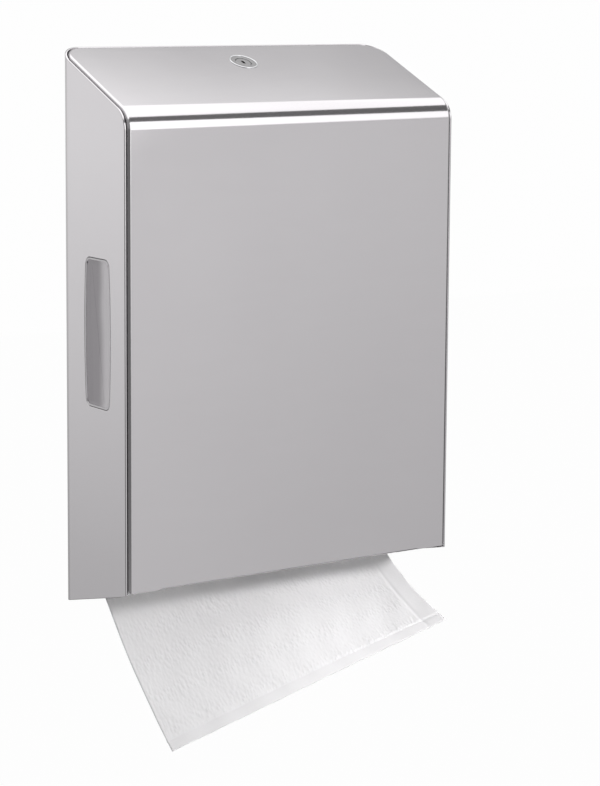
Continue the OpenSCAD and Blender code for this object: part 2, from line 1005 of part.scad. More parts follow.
module towel_sheet() {
    columns = towel_columns + 1;
    per_face = columns * (towel_rows + 1);
    face_points = [
        for (row = [0:towel_rows], column = [0:towel_columns])
            towel_point(2 * column / towel_columns - 1, row / towel_rows)
    ];
    back_points = [for (p = face_points) p + towel_t * towel_under];
    face_triangles = [
        for (row = [0:towel_rows - 1], column = [0:towel_columns - 1])
            let (a = row * columns + column)
            each [[a, a + columns, a + 1], [a + 1, a + columns, a + columns + 1]]
    ];
    back_triangles = [for (f = face_triangles) [f[2], f[1], f[0]] + per_face * [1, 1, 1]];
    rim = concat(
        [for (column = [0:towel_columns - 1]) column],
        [for (row = [0:towel_rows - 1]) row * columns + towel_columns],
        [for (column = [towel_columns:-1:1]) towel_rows * columns + column],
        [for (row = [towel_rows:-1:1]) row * columns]
    );
    rim_triangles = [
        for (i = [0:len(rim) - 1])
            let (a = rim[i], b = rim[(i + 1) % len(rim)])
            each [[a, b, b + per_face], [a, b + per_face, a + per_face]]
    ];
    color(paper_white)
        at_wall()
            polyhedron(
                points = concat(face_points, back_points),
                faces = concat(face_triangles, back_triangles, rim_triangles)
            );
}

body_shell();
towel_tray();
latch_rail();
latch_strike();
strike_rivets();
hinge_bracket(-1);  // hinge_bracket_left
hinge_bracket(1);  // hinge_bracket_right
hinge_pin(-1);  // hinge_pin_left
hinge_pin(1);  // hinge_pin_right
pin_clips();
window_rim(-1);  // window_rim_left
window_rim(1);  // window_rim_right
window_lens(-1);  // window_lens_left
window_lens(1);  // window_lens_right
window_retainer(-1);  // window_retainer_left
window_retainer(1);  // window_retainer_right
window_studs();
window_nuts();
pack_guide(-1);  // pack_guide_left
pack_guide(1);  // pack_guide_right
door_bumpers();
towel_pack();
door_panel();
hinge_lug(-1);  // hinge_lug_left
hinge_lug(1);  // hinge_lug_right
lock_housing();
lock_washer();
lock_nut();
lock_plug();
lock_cam();
cam_screw();
towel_sheet();
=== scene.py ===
"""Looks of the wall-hung steel dispenser for folded paper towels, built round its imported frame.

Pieces are shaped in millimetres of the cabinet's own frame: X runs to the right, the door faces
-Y, the wall is the plane y = 0 and Z is up. Each is scaled to metres when it is handed over.
"""
import json
import logging
import math
import random
from dataclasses import dataclass, field
from enum import Enum
from typing import Callable, Iterable, Sequence

import bmesh
import bpy
from bmesh.types import BMEdge, BMFace, BMVert
from mathutils import Matrix, Vector

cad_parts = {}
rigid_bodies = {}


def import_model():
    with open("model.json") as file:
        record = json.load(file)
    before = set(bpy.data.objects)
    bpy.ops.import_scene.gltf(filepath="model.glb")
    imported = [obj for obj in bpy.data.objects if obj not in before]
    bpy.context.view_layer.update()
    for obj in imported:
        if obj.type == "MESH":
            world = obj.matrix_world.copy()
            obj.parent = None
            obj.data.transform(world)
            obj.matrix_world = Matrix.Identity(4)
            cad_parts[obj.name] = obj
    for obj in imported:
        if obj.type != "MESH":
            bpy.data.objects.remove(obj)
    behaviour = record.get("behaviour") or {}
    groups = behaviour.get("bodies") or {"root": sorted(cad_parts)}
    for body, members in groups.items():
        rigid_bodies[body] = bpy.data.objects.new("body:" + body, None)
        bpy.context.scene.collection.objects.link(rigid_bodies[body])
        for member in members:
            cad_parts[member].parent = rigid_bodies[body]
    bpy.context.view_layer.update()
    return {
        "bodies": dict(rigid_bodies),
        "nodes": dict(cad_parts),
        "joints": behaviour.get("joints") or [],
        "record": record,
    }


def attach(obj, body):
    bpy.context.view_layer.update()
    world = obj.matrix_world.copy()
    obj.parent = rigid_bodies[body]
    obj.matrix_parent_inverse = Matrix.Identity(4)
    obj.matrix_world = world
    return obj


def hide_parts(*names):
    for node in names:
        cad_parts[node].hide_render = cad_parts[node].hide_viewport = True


LOG = logging.getLogger("dispenser")

Point = tuple[float, float, float]
Colour = tuple[float, float, float]
Socket = bpy.types.NodeSocket

MM = 0.001  # metres in a millimetre
TOUCH = 1e-4  # points closer than this are one, in millimetres
NEAR = 1e-3  # points closer than this lie on one line or plane, in millimetres
FOLD_DEG = 50.0  # edges of the door's sheet sharper than this are rounded
CORNER_DEG = 60.0  # edges of other pieces sharper than this are rounded
ROUND_STEPS = 3  # faces round a small edge
ALIGNED = 0.999  # cosine above which two directions are taken as one
FLAT_WEIGHT = 100  # how strongly large faces draw the normals
ACROSS: Point = (1.0, 0.0, 0.0)
UP: Point = (0.0, 0.0, 1.0)


class Body(Enum):
    """The moving bodies of the frame."""

    CHASSIS = "chassis"
    DOOR = "door"
    LOCK_CORE = "lock_core"
    TOWEL = "towel"


class Slot(Enum):
    """The record's material slots."""

    SATIN_STEEL = "satin_steel"
    INNER_STEEL = "inner_steel"
    PLATED_STEEL = "plated_steel"
    LOCK_METAL = "lock_metal"
    WINDOW_TRIM = "window_trim"
    SMOKED_LENS = "smoked_lens"
    BUMPER_RUBBER = "bumper_rubber"
    FOLDED_PACK = "folded_pack"
    TOWEL_PAPER = "towel_paper"


class Side(Enum):
    """The two sides of the cabinet, by the sign of their x."""

    LEFT = -1
    RIGHT = 1


class Nodes:
    """Adds and joins the nodes of one shader tree."""

    def __init__(self, tree: bpy.types.NodeTree) -> None:
        """Keeps the tree that nodes are added to.

        Args:
            tree: A material's, world's or group's node tree.
        """
        self.tree = tree

    def add(self, kind: str, inputs: dict | None = None, **settings: object) -> bpy.types.Node:
        """Adds a node, sets its options and its inputs, and joins what is given as a socket.

        Args:
            kind: Blender's name of the node type.
            inputs: Values or output sockets by the input's name or number.
            **settings: Options of the node itself.

        Returns:
            The new node.
        """
        node = self.tree.nodes.new(kind)
        for name, value in settings.items():
            setattr(node, name, value)
        for name, value in (inputs or {}).items():
            self.feed(node.inputs[name], value)
        return node

    def feed(self, socket: Socket, value: object) -> None:
        """Joins an output to an input, or sets the input's own value.

        Args:
            socket: The input.
            value: An output socket, or a plain value.
        """
        if isinstance(value, Socket):
            self.tree.links.new(value, socket)
        else:
            socket.default_value = value

    def math(self, operation: str, *values: float | Socket, clamp: bool = False) -> Socket:
        """Adds a Math node.

        Args:
            operation: Blender's name of the operation.
            *values: Its inputs, as numbers or output sockets.
            clamp: Whether the result stays between 0 and 1.

        Returns:
            The result's socket.
        """
        inputs = dict(enumerate(values))
        return self.add("ShaderNodeMath", inputs, operation=operation, use_clamp=clamp).outputs[0]

    def ramp(self, value: Socket, stops: Sequence[tuple[float, float]]) -> Socket:
        """Adds a grey colour ramp.

        Args:
            value: What the ramp reads.
            stops: Places from 0 to 1, each with its grey.

        Returns:
            The ramp's colour socket.
        """
        node = self.add("ShaderNodeValToRGB", {"Fac": value})
        band = node.color_ramp.elements
        while len(band) < len(stops):
            band.new(1.0)
        for element, (place, grey) in zip(band, stops):
            element.position = place
            element.color = (grey, grey, grey, 1.0)
        return node.outputs["Color"]

    def tones(self, mask: Socket, dark: Colour, light: Colour) -> Socket:
        """Mixes two colours by a mask.

        Args:
            mask: A value from 0 to 1.
            dark: The colour at 0.
            light: The colour at 1.

        Returns:
            The mixed colour's socket.
        """
        node = self.add("ShaderNodeMix", data_type="RGBA")
        self.feed(node.inputs[0], mask)
        self.feed(node.inputs[6], (*dark, 1.0))
        self.feed(node.inputs[7], (*light, 1.0))
        return node.outputs[2]

    def spread(self, mask: Socket, low: float, high: float) -> Socket:
        """Maps a mask from 0 to 1 onto a range of values.

        Args:
            mask: A value from 0 to 1.
            low: The value at 0.
            high: The value at 1.

        Returns:
            The mapped value's socket.
        """
        return self.add("ShaderNodeMapRange", {0: mask, 3: low, 4: high}).outputs[0]

    def scaled(self, vector: Socket, by: Point | Socket) -> Socket:
        """Multiplies a vector by another, direction by direction."""
        return self.add("ShaderNodeVectorMath", {0: vector, 1: by}, operation="MULTIPLY").outputs[0]

    def noise(self, vector: Socket, scale: float | Socket, detail: float, **more: float) -> Socket:
        """Adds a Noise texture.

        Args:
            vector: The coordinates it reads.
            scale: How fine it is.
            detail: How many finer layers it has.
            **more: Its other inputs, by name.

        Returns:
            The socket of its value.
        """
        inputs = {"Vector": vector, "Scale": scale, "Detail": detail, **more}
        return self.add("ShaderNodeTexNoise", inputs).outputs[0]

    def blend(self, first: Socket, second: Socket, share: float, clamp: bool = False) -> Socket:
        """Adds two values up, each by its share.

        Args:
            first: The one value.
            second: The other value.
            share: The first value's share, from 0 to 1.
            clamp: Whether the sum stays between 0 and 1.

        Returns:
            The sum's socket.
        """
        parts = self.math("MULTIPLY", first, share), self.math("MULTIPLY", second, 1 - share)
        return self.math("ADD", *parts, clamp=clamp)

    def bump(self, strength: float, depth: float, height: Socket, below: Socket | None = None) -> Socket:
        """Adds a bump.

        Args:
            strength: How strong it is, from 0 to 1.
            depth: How far its height reaches, in metres.
            height: Its height.
            below: The normal of a bump that it lies on, if there is one.

        Returns:
            The socket of its normal.
        """
        inputs = {"Strength": strength, "Distance": depth, "Height": height}
        if below is not None:
            inputs["Normal"] = below
        return self.add("ShaderNodeBump", inputs).outputs[0]

    def seen(self) -> Socket:
        """Adds a mask that is 1 to the camera, to mirrors and through clear things, and 0 to other rays.

        Returns:
            The mask's socket.
        """
        path = self.add("ShaderNodeLightPath").outputs
        mirrored = self.math("MAXIMUM", path["Is Glossy Ray"], path["Is Transmission Ray"])
        return self.math("MAXIMUM", path["Is Camera Ray"], mirrored)


class Effect(Enum):
    """The shader node groups that several finishes share."""

    FINE_GRAIN = "fine_grain"
    HANDLING = "handling_marks"
    FIBRE = "paper_fibre"

    def tree(self) -> bpy.types.NodeTree:
        """Returns the group's node tree, built at its first use."""
        found = bpy.data.node_groups.get(self.value)
        return found or {
            Effect.FINE_GRAIN: fine_grain,
            Effect.HANDLING: handling_marks,
            Effect.FIBRE: paper_fibre,
        }[self]()


def new_group(
    effect: Effect, inputs: dict[str, float], outputs: Sequence[str]
) -> tuple[Nodes, dict, bpy.types.Node]:
    """Starts a shader node group that reads a vector and puts out values.

    Args:
        effect: Which group it is.
        inputs: Names and first values of its number inputs.
        outputs: Names of its value outputs.

    Returns:
        The node maker, the group's input sockets by name, and its output node.
    """
    tree = bpy.data.node_groups.new(effect.value, "ShaderNodeTree")
    tree.interface.new_socket("Vector", in_out="INPUT", socket_type="NodeSocketVector")
    for name, value in inputs.items():
        tree.interface.new_socket(name, in_out="INPUT", socket_type="NodeSocketFloat").default_value = value
    for name in outputs:
        tree.interface.new_socket(name, in_out="OUTPUT", socket_type="NodeSocketFloat")
    nodes = Nodes(tree)
    entry = nodes.add("NodeGroupInput")
    return nodes, {s.name: s for s in entry.outputs if s.name}, nodes.add("NodeGroupOutput")


def fine_grain() -> bpy.types.NodeTree:
    """Builds the group for the fine rolled grain of sheet metal.

    Returns:
        A group with the inputs Vector, Scale and Stretch, and the outputs Tone and Height.
    """
    nodes, given, out = new_group(Effect.FINE_GRAIN, {"Scale": 900.0, "Stretch": 0.2}, ("Tone", "Height"))
    along = nodes.add("ShaderNodeCombineXYZ", {0: given["Stretch"], 1: 1.0, 2: 1.0}).outputs[0]
    drawn = nodes.scaled(given["Vector"], along)
    fine = nodes.noise(drawn, given["Scale"], 3.0, Roughness=0.6)
    broad = nodes.noise(drawn, nodes.math("MULTIPLY", given["Scale"], 0.13), 2.0)
    nodes.feed(out.inputs["Tone"], nodes.blend(fine, broad, 0.6))
    nodes.feed(out.inputs["Height"], fine)
    return nodes.tree


def handling_marks() -> bpy.types.NodeTree:
    """Builds the group for the soft cloudy marks that handling and wiping leave.

    Returns:
        A group with the inputs Vector and Scale, and the output Mask.
    """
    nodes, given, out = new_group(Effect.HANDLING, {"Scale": 9.0}, ("Mask",))
    cloud = nodes.noise(given["Vector"], given["Scale"], 4.0, Roughness=0.55)
    mask = nodes.math("SMOOTH_MIN", 1.0, nodes.spread(cloud, -0.4, 1.4), 0.1, clamp=True)
    nodes.feed(out.inputs["Mask"], mask)
    return nodes.tree


def paper_fibre() -> bpy.types.NodeTree:
    """Builds the group for the fibres and thin places of soft paper.

    Returns:
        A group with the inputs Vector and Scale, and the outputs Tone and Height.
    """
    nodes, given, out = new_group(Effect.FIBRE, {"Scale": 420.0}, ("Tone", "Height"))
    wool = nodes.noise(given["Vector"], given["Scale"], 5.0, Roughness=0.7, Distortion=0.6)
    patch = nodes.noise(given["Vector"], nodes.math("MULTIPLY", given["Scale"], 0.11), 2.0)
    nodes.feed(out.inputs["Tone"], nodes.blend(wool, patch, 0.5))
    nodes.feed(out.inputs["Height"], wool)
    return nodes.tree


@dataclass(frozen=True)
class Finish:
    """A surface finish, made into a material at its first use.

    Attributes:
        name: The material's name.
        dark: Its darker tone.
        light: Its lighter tone.
        smooth: Its lowest roughness.
        rough: Its highest roughness.
    """

    name: str
    dark: Colour
    light: Colour
    smooth: float
    rough: float

    def material(self) -> bpy.types.Material:
        """Returns the finish's material, built at its first use."""
        return bpy.data.materials.get(self.name) or self.build()

    def start(self) -> tuple[bpy.types.Material, Nodes, bpy.types.Node]:
        """Starts a material with one Principled shader.

        Returns:
            The material, its node maker and the shader.
        """
        material = bpy.data.materials.new(self.name)
        material.use_nodes = True
        nodes = Nodes(material.node_tree)
        return material, nodes, material.node_tree.nodes["Principled BSDF"]

    def build(self) -> bpy.types.Material:
        """Builds the material; each kind of finish has its own."""
        raise NotImplementedError

    def effect(self, nodes: Nodes, effect: Effect, vector: Socket, **values: float) -> dict:
        """Places a shared node group.

        Args:
            nodes: The material's node maker.
            effect: Which group.
            vector: The coordinates it reads.
            **values: Its own values, by input name.

        Returns:
            The group's output sockets by name.
        """
        node = nodes.add("ShaderNodeGroup", node_tree=effect.tree())
        nodes.feed(node.inputs["Vector"], vector)
        for name, value in values.items():
            node.inputs[name].default_value = value
        return {s.name: s for s in node.outputs}


@dataclass(frozen=True)
class MetalFinish(Finish):
    """Bare or plated metal with a fine grain and faint handling marks.

    Attributes:
        grain_scale: How fine the grain is.
        stretch: How far the grain is drawn out across the sheet.
        grain_bump: How strong the grain is.
        grain_depth: How deep the grain is at full strength, in metres.
        marks_scale: How broad the handling marks are.
        tone_share: Share of the grain in the tone; the marks have the rest.
        gloss_share: Share of the grain in the roughness; the marks have the rest.
    """

    grain_scale: float = 900.0
    stretch: float = 0.2
    grain_bump: float = 0.02
    grain_depth: float = 0.0002
    marks_scale: float = 9.0
    tone_share: float = 0.6
    gloss_share: float = 0.5

    def build(self) -> bpy.types.Material:
        """Builds the metal.

        Returns:
            The new material.
        """
        material, nodes, shader = self.start()
        place = nodes.add("ShaderNodeTexCoord").outputs["Object"]
        grain = self.effect(nodes, Effect.FINE_GRAIN, place, Scale=self.grain_scale, Stretch=self.stretch)
        marks = self.effect(nodes, Effect.HANDLING, place, Scale=self.marks_scale)
        tone = nodes.blend(grain["Tone"], marks["Mask"], self.tone_share)
        nodes.feed(shader.inputs["Base Color"], nodes.tones(tone, self.dark, self.light))
        gloss = nodes.blend(grain["Tone"], marks["Mask"], self.gloss_share)
        nodes.feed(shader.inputs["Roughness"], nodes.spread(gloss, self.smooth, self.rough))
        nodes.feed(shader.inputs["Normal"], nodes.bump(self.grain_bump, self.grain_depth, grain["Height"]))
        shader.inputs["Metallic"].default_value = 1.0
        return material


@dataclass(frozen=True)
class PlasticFinish(Finish):
    """Moulded plastic or rubber with a fine skin.

    Attributes:
        alpha: How far it covers what is behind it.
        skin_scale: How fine the moulded skin is.
        skin_bump: How strong the skin is.
        skin_depth: How deep the skin is at full strength, in metres.
        marks_scale: How broad the handling marks are.
        gloss_coat: Weight of a clear glossy coat.
        coat_rough: Roughness of the coat.
    """

    alpha: float = 1.0
    skin_scale: float = 1500.0
    skin_bump: float = 0.05
    skin_depth: float = 0.0002
    marks_scale: float = 30.0
    gloss_coat: float = 0.0
    coat_rough: float = 0.08

    def build(self) -> bpy.types.Material:
        """Builds the plastic.

        Returns:
            The new material.
        """
        material, nodes, shader = self.start()
        place = nodes.add("ShaderNodeTexCoord").outputs["Object"]
        skin = self.effect(nodes, Effect.FINE_GRAIN, place, Scale=self.skin_scale, Stretch=1.0)
        marks = self.effect(nodes, Effect.HANDLING, place, Scale=self.marks_scale)
        nodes.feed(shader.inputs["Base Color"], nodes.tones(marks["Mask"], self.dark, self.light))
        nodes.feed(shader.inputs["Roughness"], nodes.spread(skin["Tone"], self.smooth, self.rough))
        nodes.feed(shader.inputs["Normal"], nodes.bump(self.skin_bump, self.skin_depth, skin["Height"]))
        shader.inputs["Alpha"].default_value = self.alpha
        shader.inputs["Coat Weight"].default_value = self.gloss_coat
        shader.inputs["Coat Roughness"].default_value = self.coat_rough
        return material


@dataclass(frozen=True)
class LensFinish(PlasticFinish):
    """Smoked plastic with painted light growing towards the front, and soft upright painted highlights.

    Attributes:
        painted_light_from: Where the painted light starts, in metres across the depth.
        painted_light_to: Where the painted light is full.
        streaks: How strong the painted highlight streaks are.
        streak_scale: How fine the streaks are.
        streak_draw: How far the streaks are drawn out upright.
        drift: How far the painted light's edge wanders, in metres.
        drift_scale: How often it wanders.
    """

    painted_light_from: float = -0.0545
    painted_light_to: float = -0.0655
    streaks: float = 0.16
    streak_scale: float = 160.0
    streak_draw: float = 0.05
    drift: float = 0.008
    drift_scale: float = 22.0

    def build(self) -> bpy.types.Material:
        """Builds the plastic and paints light into its tone: lighter towards the front, with highlight
        streaks.

        Returns:
            The new material.
        """
        material = super().build()
        nodes = Nodes(material.node_tree)
        shader = material.node_tree.nodes["Principled BSDF"]
        place = nodes.add("ShaderNodeTexCoord").outputs["Object"]
        # painted highlights: soft upright streaks that lighten the tone
        highlight_streak = nodes.noise(nodes.scaled(place, (1.0, 1.0, self.streak_draw)), self.streak_scale, 2.0)
        wander = nodes.math("SUBTRACT", nodes.noise(place, self.drift_scale, 1.0), 0.5)
        depth = nodes.add("ShaderNodeSeparateXYZ", {0: place}).outputs["Y"]
        across = nodes.math("ADD", depth, nodes.math("MULTIPLY", wander, self.drift))
        ends = {1: self.painted_light_from, 2: self.painted_light_to}
        # painted light: the tone grows lighter towards the front, along a wandering edge
        thin = nodes.add("ShaderNodeMapRange", {0: across, **ends}, interpolation_type="SMOOTHSTEP")
        # mask: the painted light with its painted highlight streaks, over the smoke's dark tone
        mask = nodes.blend(highlight_streak, thin.outputs[0], self.streaks, clamp=True)
        nodes.feed(shader.inputs["Base Color"], nodes.tones(mask, self.dark, self.light))
        return material


@dataclass(frozen=True)
class PaperFinish(Finish):
    """Soft white paper, plain or embossed with short dashes that gather in arcs.

    Attributes:
        fibre_scale: How fine the fibres are.
        fibre_bump: How strong the fibres are.
        fibre_depth: How far the fibres stand up at full strength, in metres.
        sheen: How much the paper mirrors.
        emboss: How strong the embossing is; 0 leaves the paper plain.
        emboss_depth: How deep the embossing is at full strength, in metres.
        flat: The embossed sheet's flat width and length, in metres.
        dash: Width of a dash, in metres.
        dash_draw: How far the dashes are drawn out along the sheet.
        dash_turn: How far the dashes are turned, in radians.
        dash_loose: How far the dashes lie out of line.
        arcs: Distance between the arcs, in metres.
        arc_span: Distance between the wave texture's rings at the scale 1.
        arc_bend: How far the arcs bend.
        arc_low: Share of the embossing that is left between the arcs.
        plain: Shares of the width and length that stay plain, at the right and at the hem.
        fade: Shares over which the embossing fades out beside the plain bands.
    """

    fibre_scale: float = 420.0
    fibre_bump: float = 0.25
    fibre_depth: float = 0.0003
    sheen: float = 0.2
    emboss: float = 0.0
    emboss_depth: float = 0.001
    flat: tuple[float, float] = (0.236, 0.1266)
    dash: float = 0.0019
    dash_draw: float = 0.5
    dash_turn: float = 0.25
    dash_loose: float = 0.75
    arcs: float = 0.026
    arc_span: float = 0.3
    arc_bend: float = 2.5
    arc_low: float = 0.35
    plain: tuple[float, float] = (0.075, 0.085)
    fade: tuple[float, float] = (0.01, 0.02)

    def build(self) -> bpy.types.Material:
        """Builds the paper.

        Returns:
            The new material.
        """
        material, nodes, shader = self.start()
        place = nodes.add("ShaderNodeTexCoord").outputs["Object"]
        fibre = self.effect(nodes, Effect.FIBRE, place, Scale=self.fibre_scale)
        nodes.feed(shader.inputs["Base Color"], nodes.tones(fibre["Tone"], self.dark, self.light))
        nodes.feed(shader.inputs["Roughness"], nodes.spread(fibre["Tone"], self.smooth, self.rough))
        normal = nodes.bump(self.fibre_bump, self.fibre_depth, fibre["Height"])
        if self.emboss:
            normal = nodes.bump(self.emboss, self.emboss_depth, self.dashes(nodes), normal)
        nodes.feed(shader.inputs["Normal"], normal)
        shader.inputs["Specular IOR Level"].default_value = self.sheen
        return material

    def dashes(self, nodes: Nodes) -> Socket:
        """Draws the embossing on the sheet's flat map.

        Args:
            nodes: The material's node maker.

        Returns:
            The socket of its height.
        """
        share = nodes.add("ShaderNodeUVMap", uv_map="flat").outputs[0]
        flat = nodes.scaled(share, (*self.flat, 0.0))
        laid = {"Rotation": (0.0, 0.0, self.dash_turn), "Scale": (1.0, self.dash_draw, 1.0)}
        drawn = nodes.add("ShaderNodeMapping", {"Vector": flat, **laid}).outputs[0]
        look = {"Scale": 1 / self.dash, "Randomness": self.dash_loose}
        cells = nodes.add("ShaderNodeTexVoronoi", {"Vector": drawn, **look}, feature="SMOOTH_F1")
        look = {"Scale": self.arc_span / self.arcs, "Distortion": self.arc_bend, "Detail": 1.0}
        rings = nodes.add("ShaderNodeTexWave", {"Vector": flat, **look}, wave_type="RINGS").outputs["Fac"]
        sides = nodes.add("ShaderNodeSeparateXYZ", {0: share}).outputs
        edge, low = 1 - self.plain[0], self.plain[1]
        right = nodes.add("ShaderNodeMapRange", {0: sides["X"], 1: edge + self.fade[0], 2: edge}).outputs[0]
        hem = nodes.add("ShaderNodeMapRange", {0: sides["Y"], 1: low - self.fade[1], 2: low}).outputs[0]
        inside = nodes.math("MULTIPLY", right, hem)
        strength = nodes.math("MULTIPLY", inside, nodes.spread(rings, self.arc_low, 1.0))
        return nodes.math("MULTIPLY", nodes.math("SUBTRACT", 1.0, cells.outputs["Distance"]), strength)


FINISHES: dict[Slot, Finish] = {
    Slot.SATIN_STEEL: MetalFinish(
        "satin_steel_sheet", (0.545, 0.528, 0.543), (0.585, 0.568, 0.583), 0.10, 0.15),
    Slot.INNER_STEEL: MetalFinish(
        "mill_steel_sheet", (0.44, 0.43, 0.44), (0.55, 0.54, 0.55), 0.28, 0.40, grain_scale=500.0),
    Slot.PLATED_STEEL: MetalFinish(
        "bright_zinc_plate", (0.58, 0.58, 0.60), (0.70, 0.70, 0.71), 0.16, 0.28, grain_scale=700.0),
    Slot.LOCK_METAL: MetalFinish(
        "satin_chrome_plate", (0.33, 0.325, 0.33), (0.38, 0.375, 0.38), 0.12, 0.20, grain_scale=1200.0),
    Slot.WINDOW_TRIM: PlasticFinish(
        "matt_grey_trim", (0.72, 0.70, 0.72), (0.78, 0.76, 0.78), 0.3, 0.42),
    # the lens's dark tone is its smoke; its light tone is painted light and painted highlight
    Slot.SMOKED_LENS: LensFinish(
        "smoked_clear_lens", (0.30, 0.275, 0.30), (0.76, 0.73, 0.76), 0.2, 0.3, alpha=0.94, gloss_coat=0.4),
    Slot.BUMPER_RUBBER: PlasticFinish(
        "matt_black_rubber", (0.015, 0.015, 0.016), (0.03, 0.03, 0.032), 0.6, 0.85, skin_bump=0.2),
    Slot.FOLDED_PACK: PaperFinish(
        "folded_soft_paper", (0.80, 0.80, 0.79), (0.92, 0.92, 0.91), 0.85, 1.0),
    Slot.TOWEL_PAPER: PaperFinish(
        "embossed_soft_paper", (0.85, 0.84, 0.85), (0.91, 0.90, 0.91), 0.85, 1.0, emboss=0.65),
}


class Form:
    """A mesh in the making, in millimetres of the cabinet's frame."""

    def __init__(self, name: str) -> None:
        """Starts an empty form.

        Args:
            name: The piece's name.
        """
        self.name = name
        self.bm = bmesh.new()

    def chain(self, points: Iterable[Point], closed: bool = False) -> list[BMEdge]:
        """Adds a row of vertices joined by edges.

        Args:
            points: Their places.
            closed: Whether the last joins the first.

        Returns:
            The edges.
        """
        verts = [self.bm.verts.new(p) for p in points]
        pairs = list(zip(verts, verts[1:])) + ([(verts[-1], verts[0])] if closed else [])
        return [self.bm.edges.new(pair) for pair in pairs]

    def push(self, edges: list[BMEdge], step: Point) -> list[BMEdge]:
        """Extrudes edges by a step.

        Args:
            edges: What is extruded.
            step: How far, in each direction.

        Returns:
            The edges at the new end.
        """
        out = bmesh.ops.extrude_edge_only(self.bm, edges=edges)["geom"]
        fresh = {g for g in out if isinstance(g, BMVert)}
        bmesh.ops.translate(self.bm, verts=list(fresh), vec=step)
        return [g for g in out if isinstance(g, BMEdge) and set(g.verts) <= fresh]

    def turn(self, edges: list[BMEdge], centre: Point, axis: Point, angle: float, steps: int) -> list[BMEdge]:
        """Sweeps edges round an axis.

        Args:
            edges: What is swept.
            centre: A point on the axis.
            axis: The axis's direction.
            angle: How far, in radians.
            steps: In how many steps.

        Returns:
            The edges at the new end.
        """
        out = bmesh.ops.spin(self.bm, geom=edges, cent=centre, axis=axis, angle=angle, steps=steps)
        return [g for g in out["geom_last"] if isinstance(g, BMEdge)]

    def arc(
        self, start: Point, centre: Point, axis: Point, angle: float, steps: int
    ) -> tuple[BMVert, BMVert]:
        """Draws an arc of edges.

        Args:
            start: Where it starts.
            centre: A point on its axis.
            axis: The axis's direction.
            angle: How far it goes, in radians.
            steps: In how many edges.

        Returns:
            Its first and last vertex.
        """
        first = self.bm.verts.new(start)
        out = bmesh.ops.spin(self.bm, geom=[first], cent=centre, axis=axis, angle=angle, steps=steps)
        return first, next(g for g in out["geom_last"] if isinstance(g, BMVert))

    def ring(self, radius: float, steps: int, place: Matrix) -> list[BMEdge]:
        """Draws a circle of edges.

        Args:
            radius: Its radius.
            steps: In how many edges.
            place: Where it lies, from the plane z = 0.

        Returns:
            The edges.
        """
        verts = bmesh.ops.create_circle(self.bm, segments=steps, radius=radius, matrix=place)["verts"]
        return list({e for v in verts for e in v.link_edges})

    def cap(self, edges: Iterable[BMEdge]) -> list[BMFace]:
        """Closes a ring of edges with one face and returns it, in a list."""
        return bmesh.ops.contextual_create(self.bm, geom=list({v for e in edges for v in e.verts}))["faces"]

    def drop(self, face: BMFace) -> list[BMEdge]:
        """Takes a face out.

        Args:
            face: The face.

        Returns:
            Its edges, which stay.
        """
        edges = list(face.edges)
        bmesh.ops.delete(self.bm, geom=[face], context="FACES_ONLY")
        return edges

    def move(self, matrix: Matrix) -> None:
        """Moves the whole form by a matrix."""
        bmesh.ops.transform(self.bm, matrix=matrix, verts=self.bm.verts)

    def join(self, *verts: BMVert) -> None:
        """Draws edges from vertex to vertex."""
        for pair in zip(verts, verts[1:]):
            self.bm.edges.new(pair)

    def fill(self, edges: Iterable[BMEdge], facing: Point, spot: Point, across: Point) -> None:
        """Fills a flat outline, with its holes left open, by two large faces.

        Args:
            edges: The edges of the outline and its holes.
            facing: The way the flat looks.
            spot: A point of the line through the holes where the two faces meet.
            across: The way from the one face to the other.
        """
        others = set(self.bm.faces)
        bmesh.ops.triangle_fill(self.bm, edges=list(edges), use_beauty=True, use_dissolve=False,
                                normal=facing)
        flats = [f for f in self.bm.faces if f not in others]
        geom = [*flats, *{e for f in flats for e in f.edges}, *{v for f in flats for v in f.verts}]
        bmesh.ops.bisect_plane(self.bm, geom=geom, dist=TOUCH, plane_co=spot, plane_no=across)
        for way in (-1.0, 1.0):
            half = [f for f in self.bm.faces if f not in others
                    and (f.calc_center_median() - Vector(spot)).dot(Vector(across)) * way > 0]
            bmesh.ops.dissolve_faces(self.bm, faces=half)

    def mirror_x(self) -> None:
        """Adds the other half, mirrored across the middle, and joins the two."""
        geom = [*self.bm.verts, *self.bm.edges, *self.bm.faces]
        bmesh.ops.mirror(self.bm, geom=geom, axis="X", merge_dist=TOUCH)

    def round_off(self, edges: list[BMEdge], radius: float, segments: int) -> None:
        """Rounds edges off.

        Args:
            edges: Which edges.
            radius: How far back from each edge the rounding starts.
            segments: In how many faces.
        """
        bmesh.ops.bevel(self.bm, geom=edges, offset=radius, offset_type="OFFSET", segments=segments,
                        profile=0.5, affect="EDGES", material=-1, clamp_overlap=False, loop_slide=True)

    def round_corners(self, verts: list[BMVert], radius: float, segments: int) -> None:
        """Rounds the corners of a flat outline off.

        Args:
            verts: Which corners.
            radius: How far back from each corner the rounding starts.
            segments: In how many edges.
        """
        bmesh.ops.bevel(self.bm, geom=verts, offset=radius, offset_type="OFFSET", segments=segments,
                        profile=0.5, affect="VERTICES", material=-1, clamp_overlap=False)

    def sharp_edges(self, degrees: float) -> list[BMEdge]:
        """Finds the edges between faces that meet at more than an angle.

        Args:
            degrees: The angle between their normals.

        Returns:
            The edges.
        """
        limit = math.radians(degrees)
        return [e for e in self.bm.edges if len(e.link_faces) == 2 and e.calc_face_angle(0.0) > limit]

    def settle(self, looks: Callable[[BMFace], float] | None = None) -> None:
        """Merges doubles and turns the faces outwards.

        Args:
            looks: For an open sheet, says of its largest face whether it looks outwards, above 0, or
                inwards.
        """
        bmesh.ops.remove_doubles(self.bm, verts=self.bm.verts, dist=TOUCH)
        bmesh.ops.recalc_face_normals(self.bm, faces=self.bm.faces)
        self.bm.normal_update()
        if looks and looks(max(self.bm.faces, key=BMFace.calc_area)) < 0:
            bmesh.ops.reverse_faces(self.bm, faces=self.bm.faces)

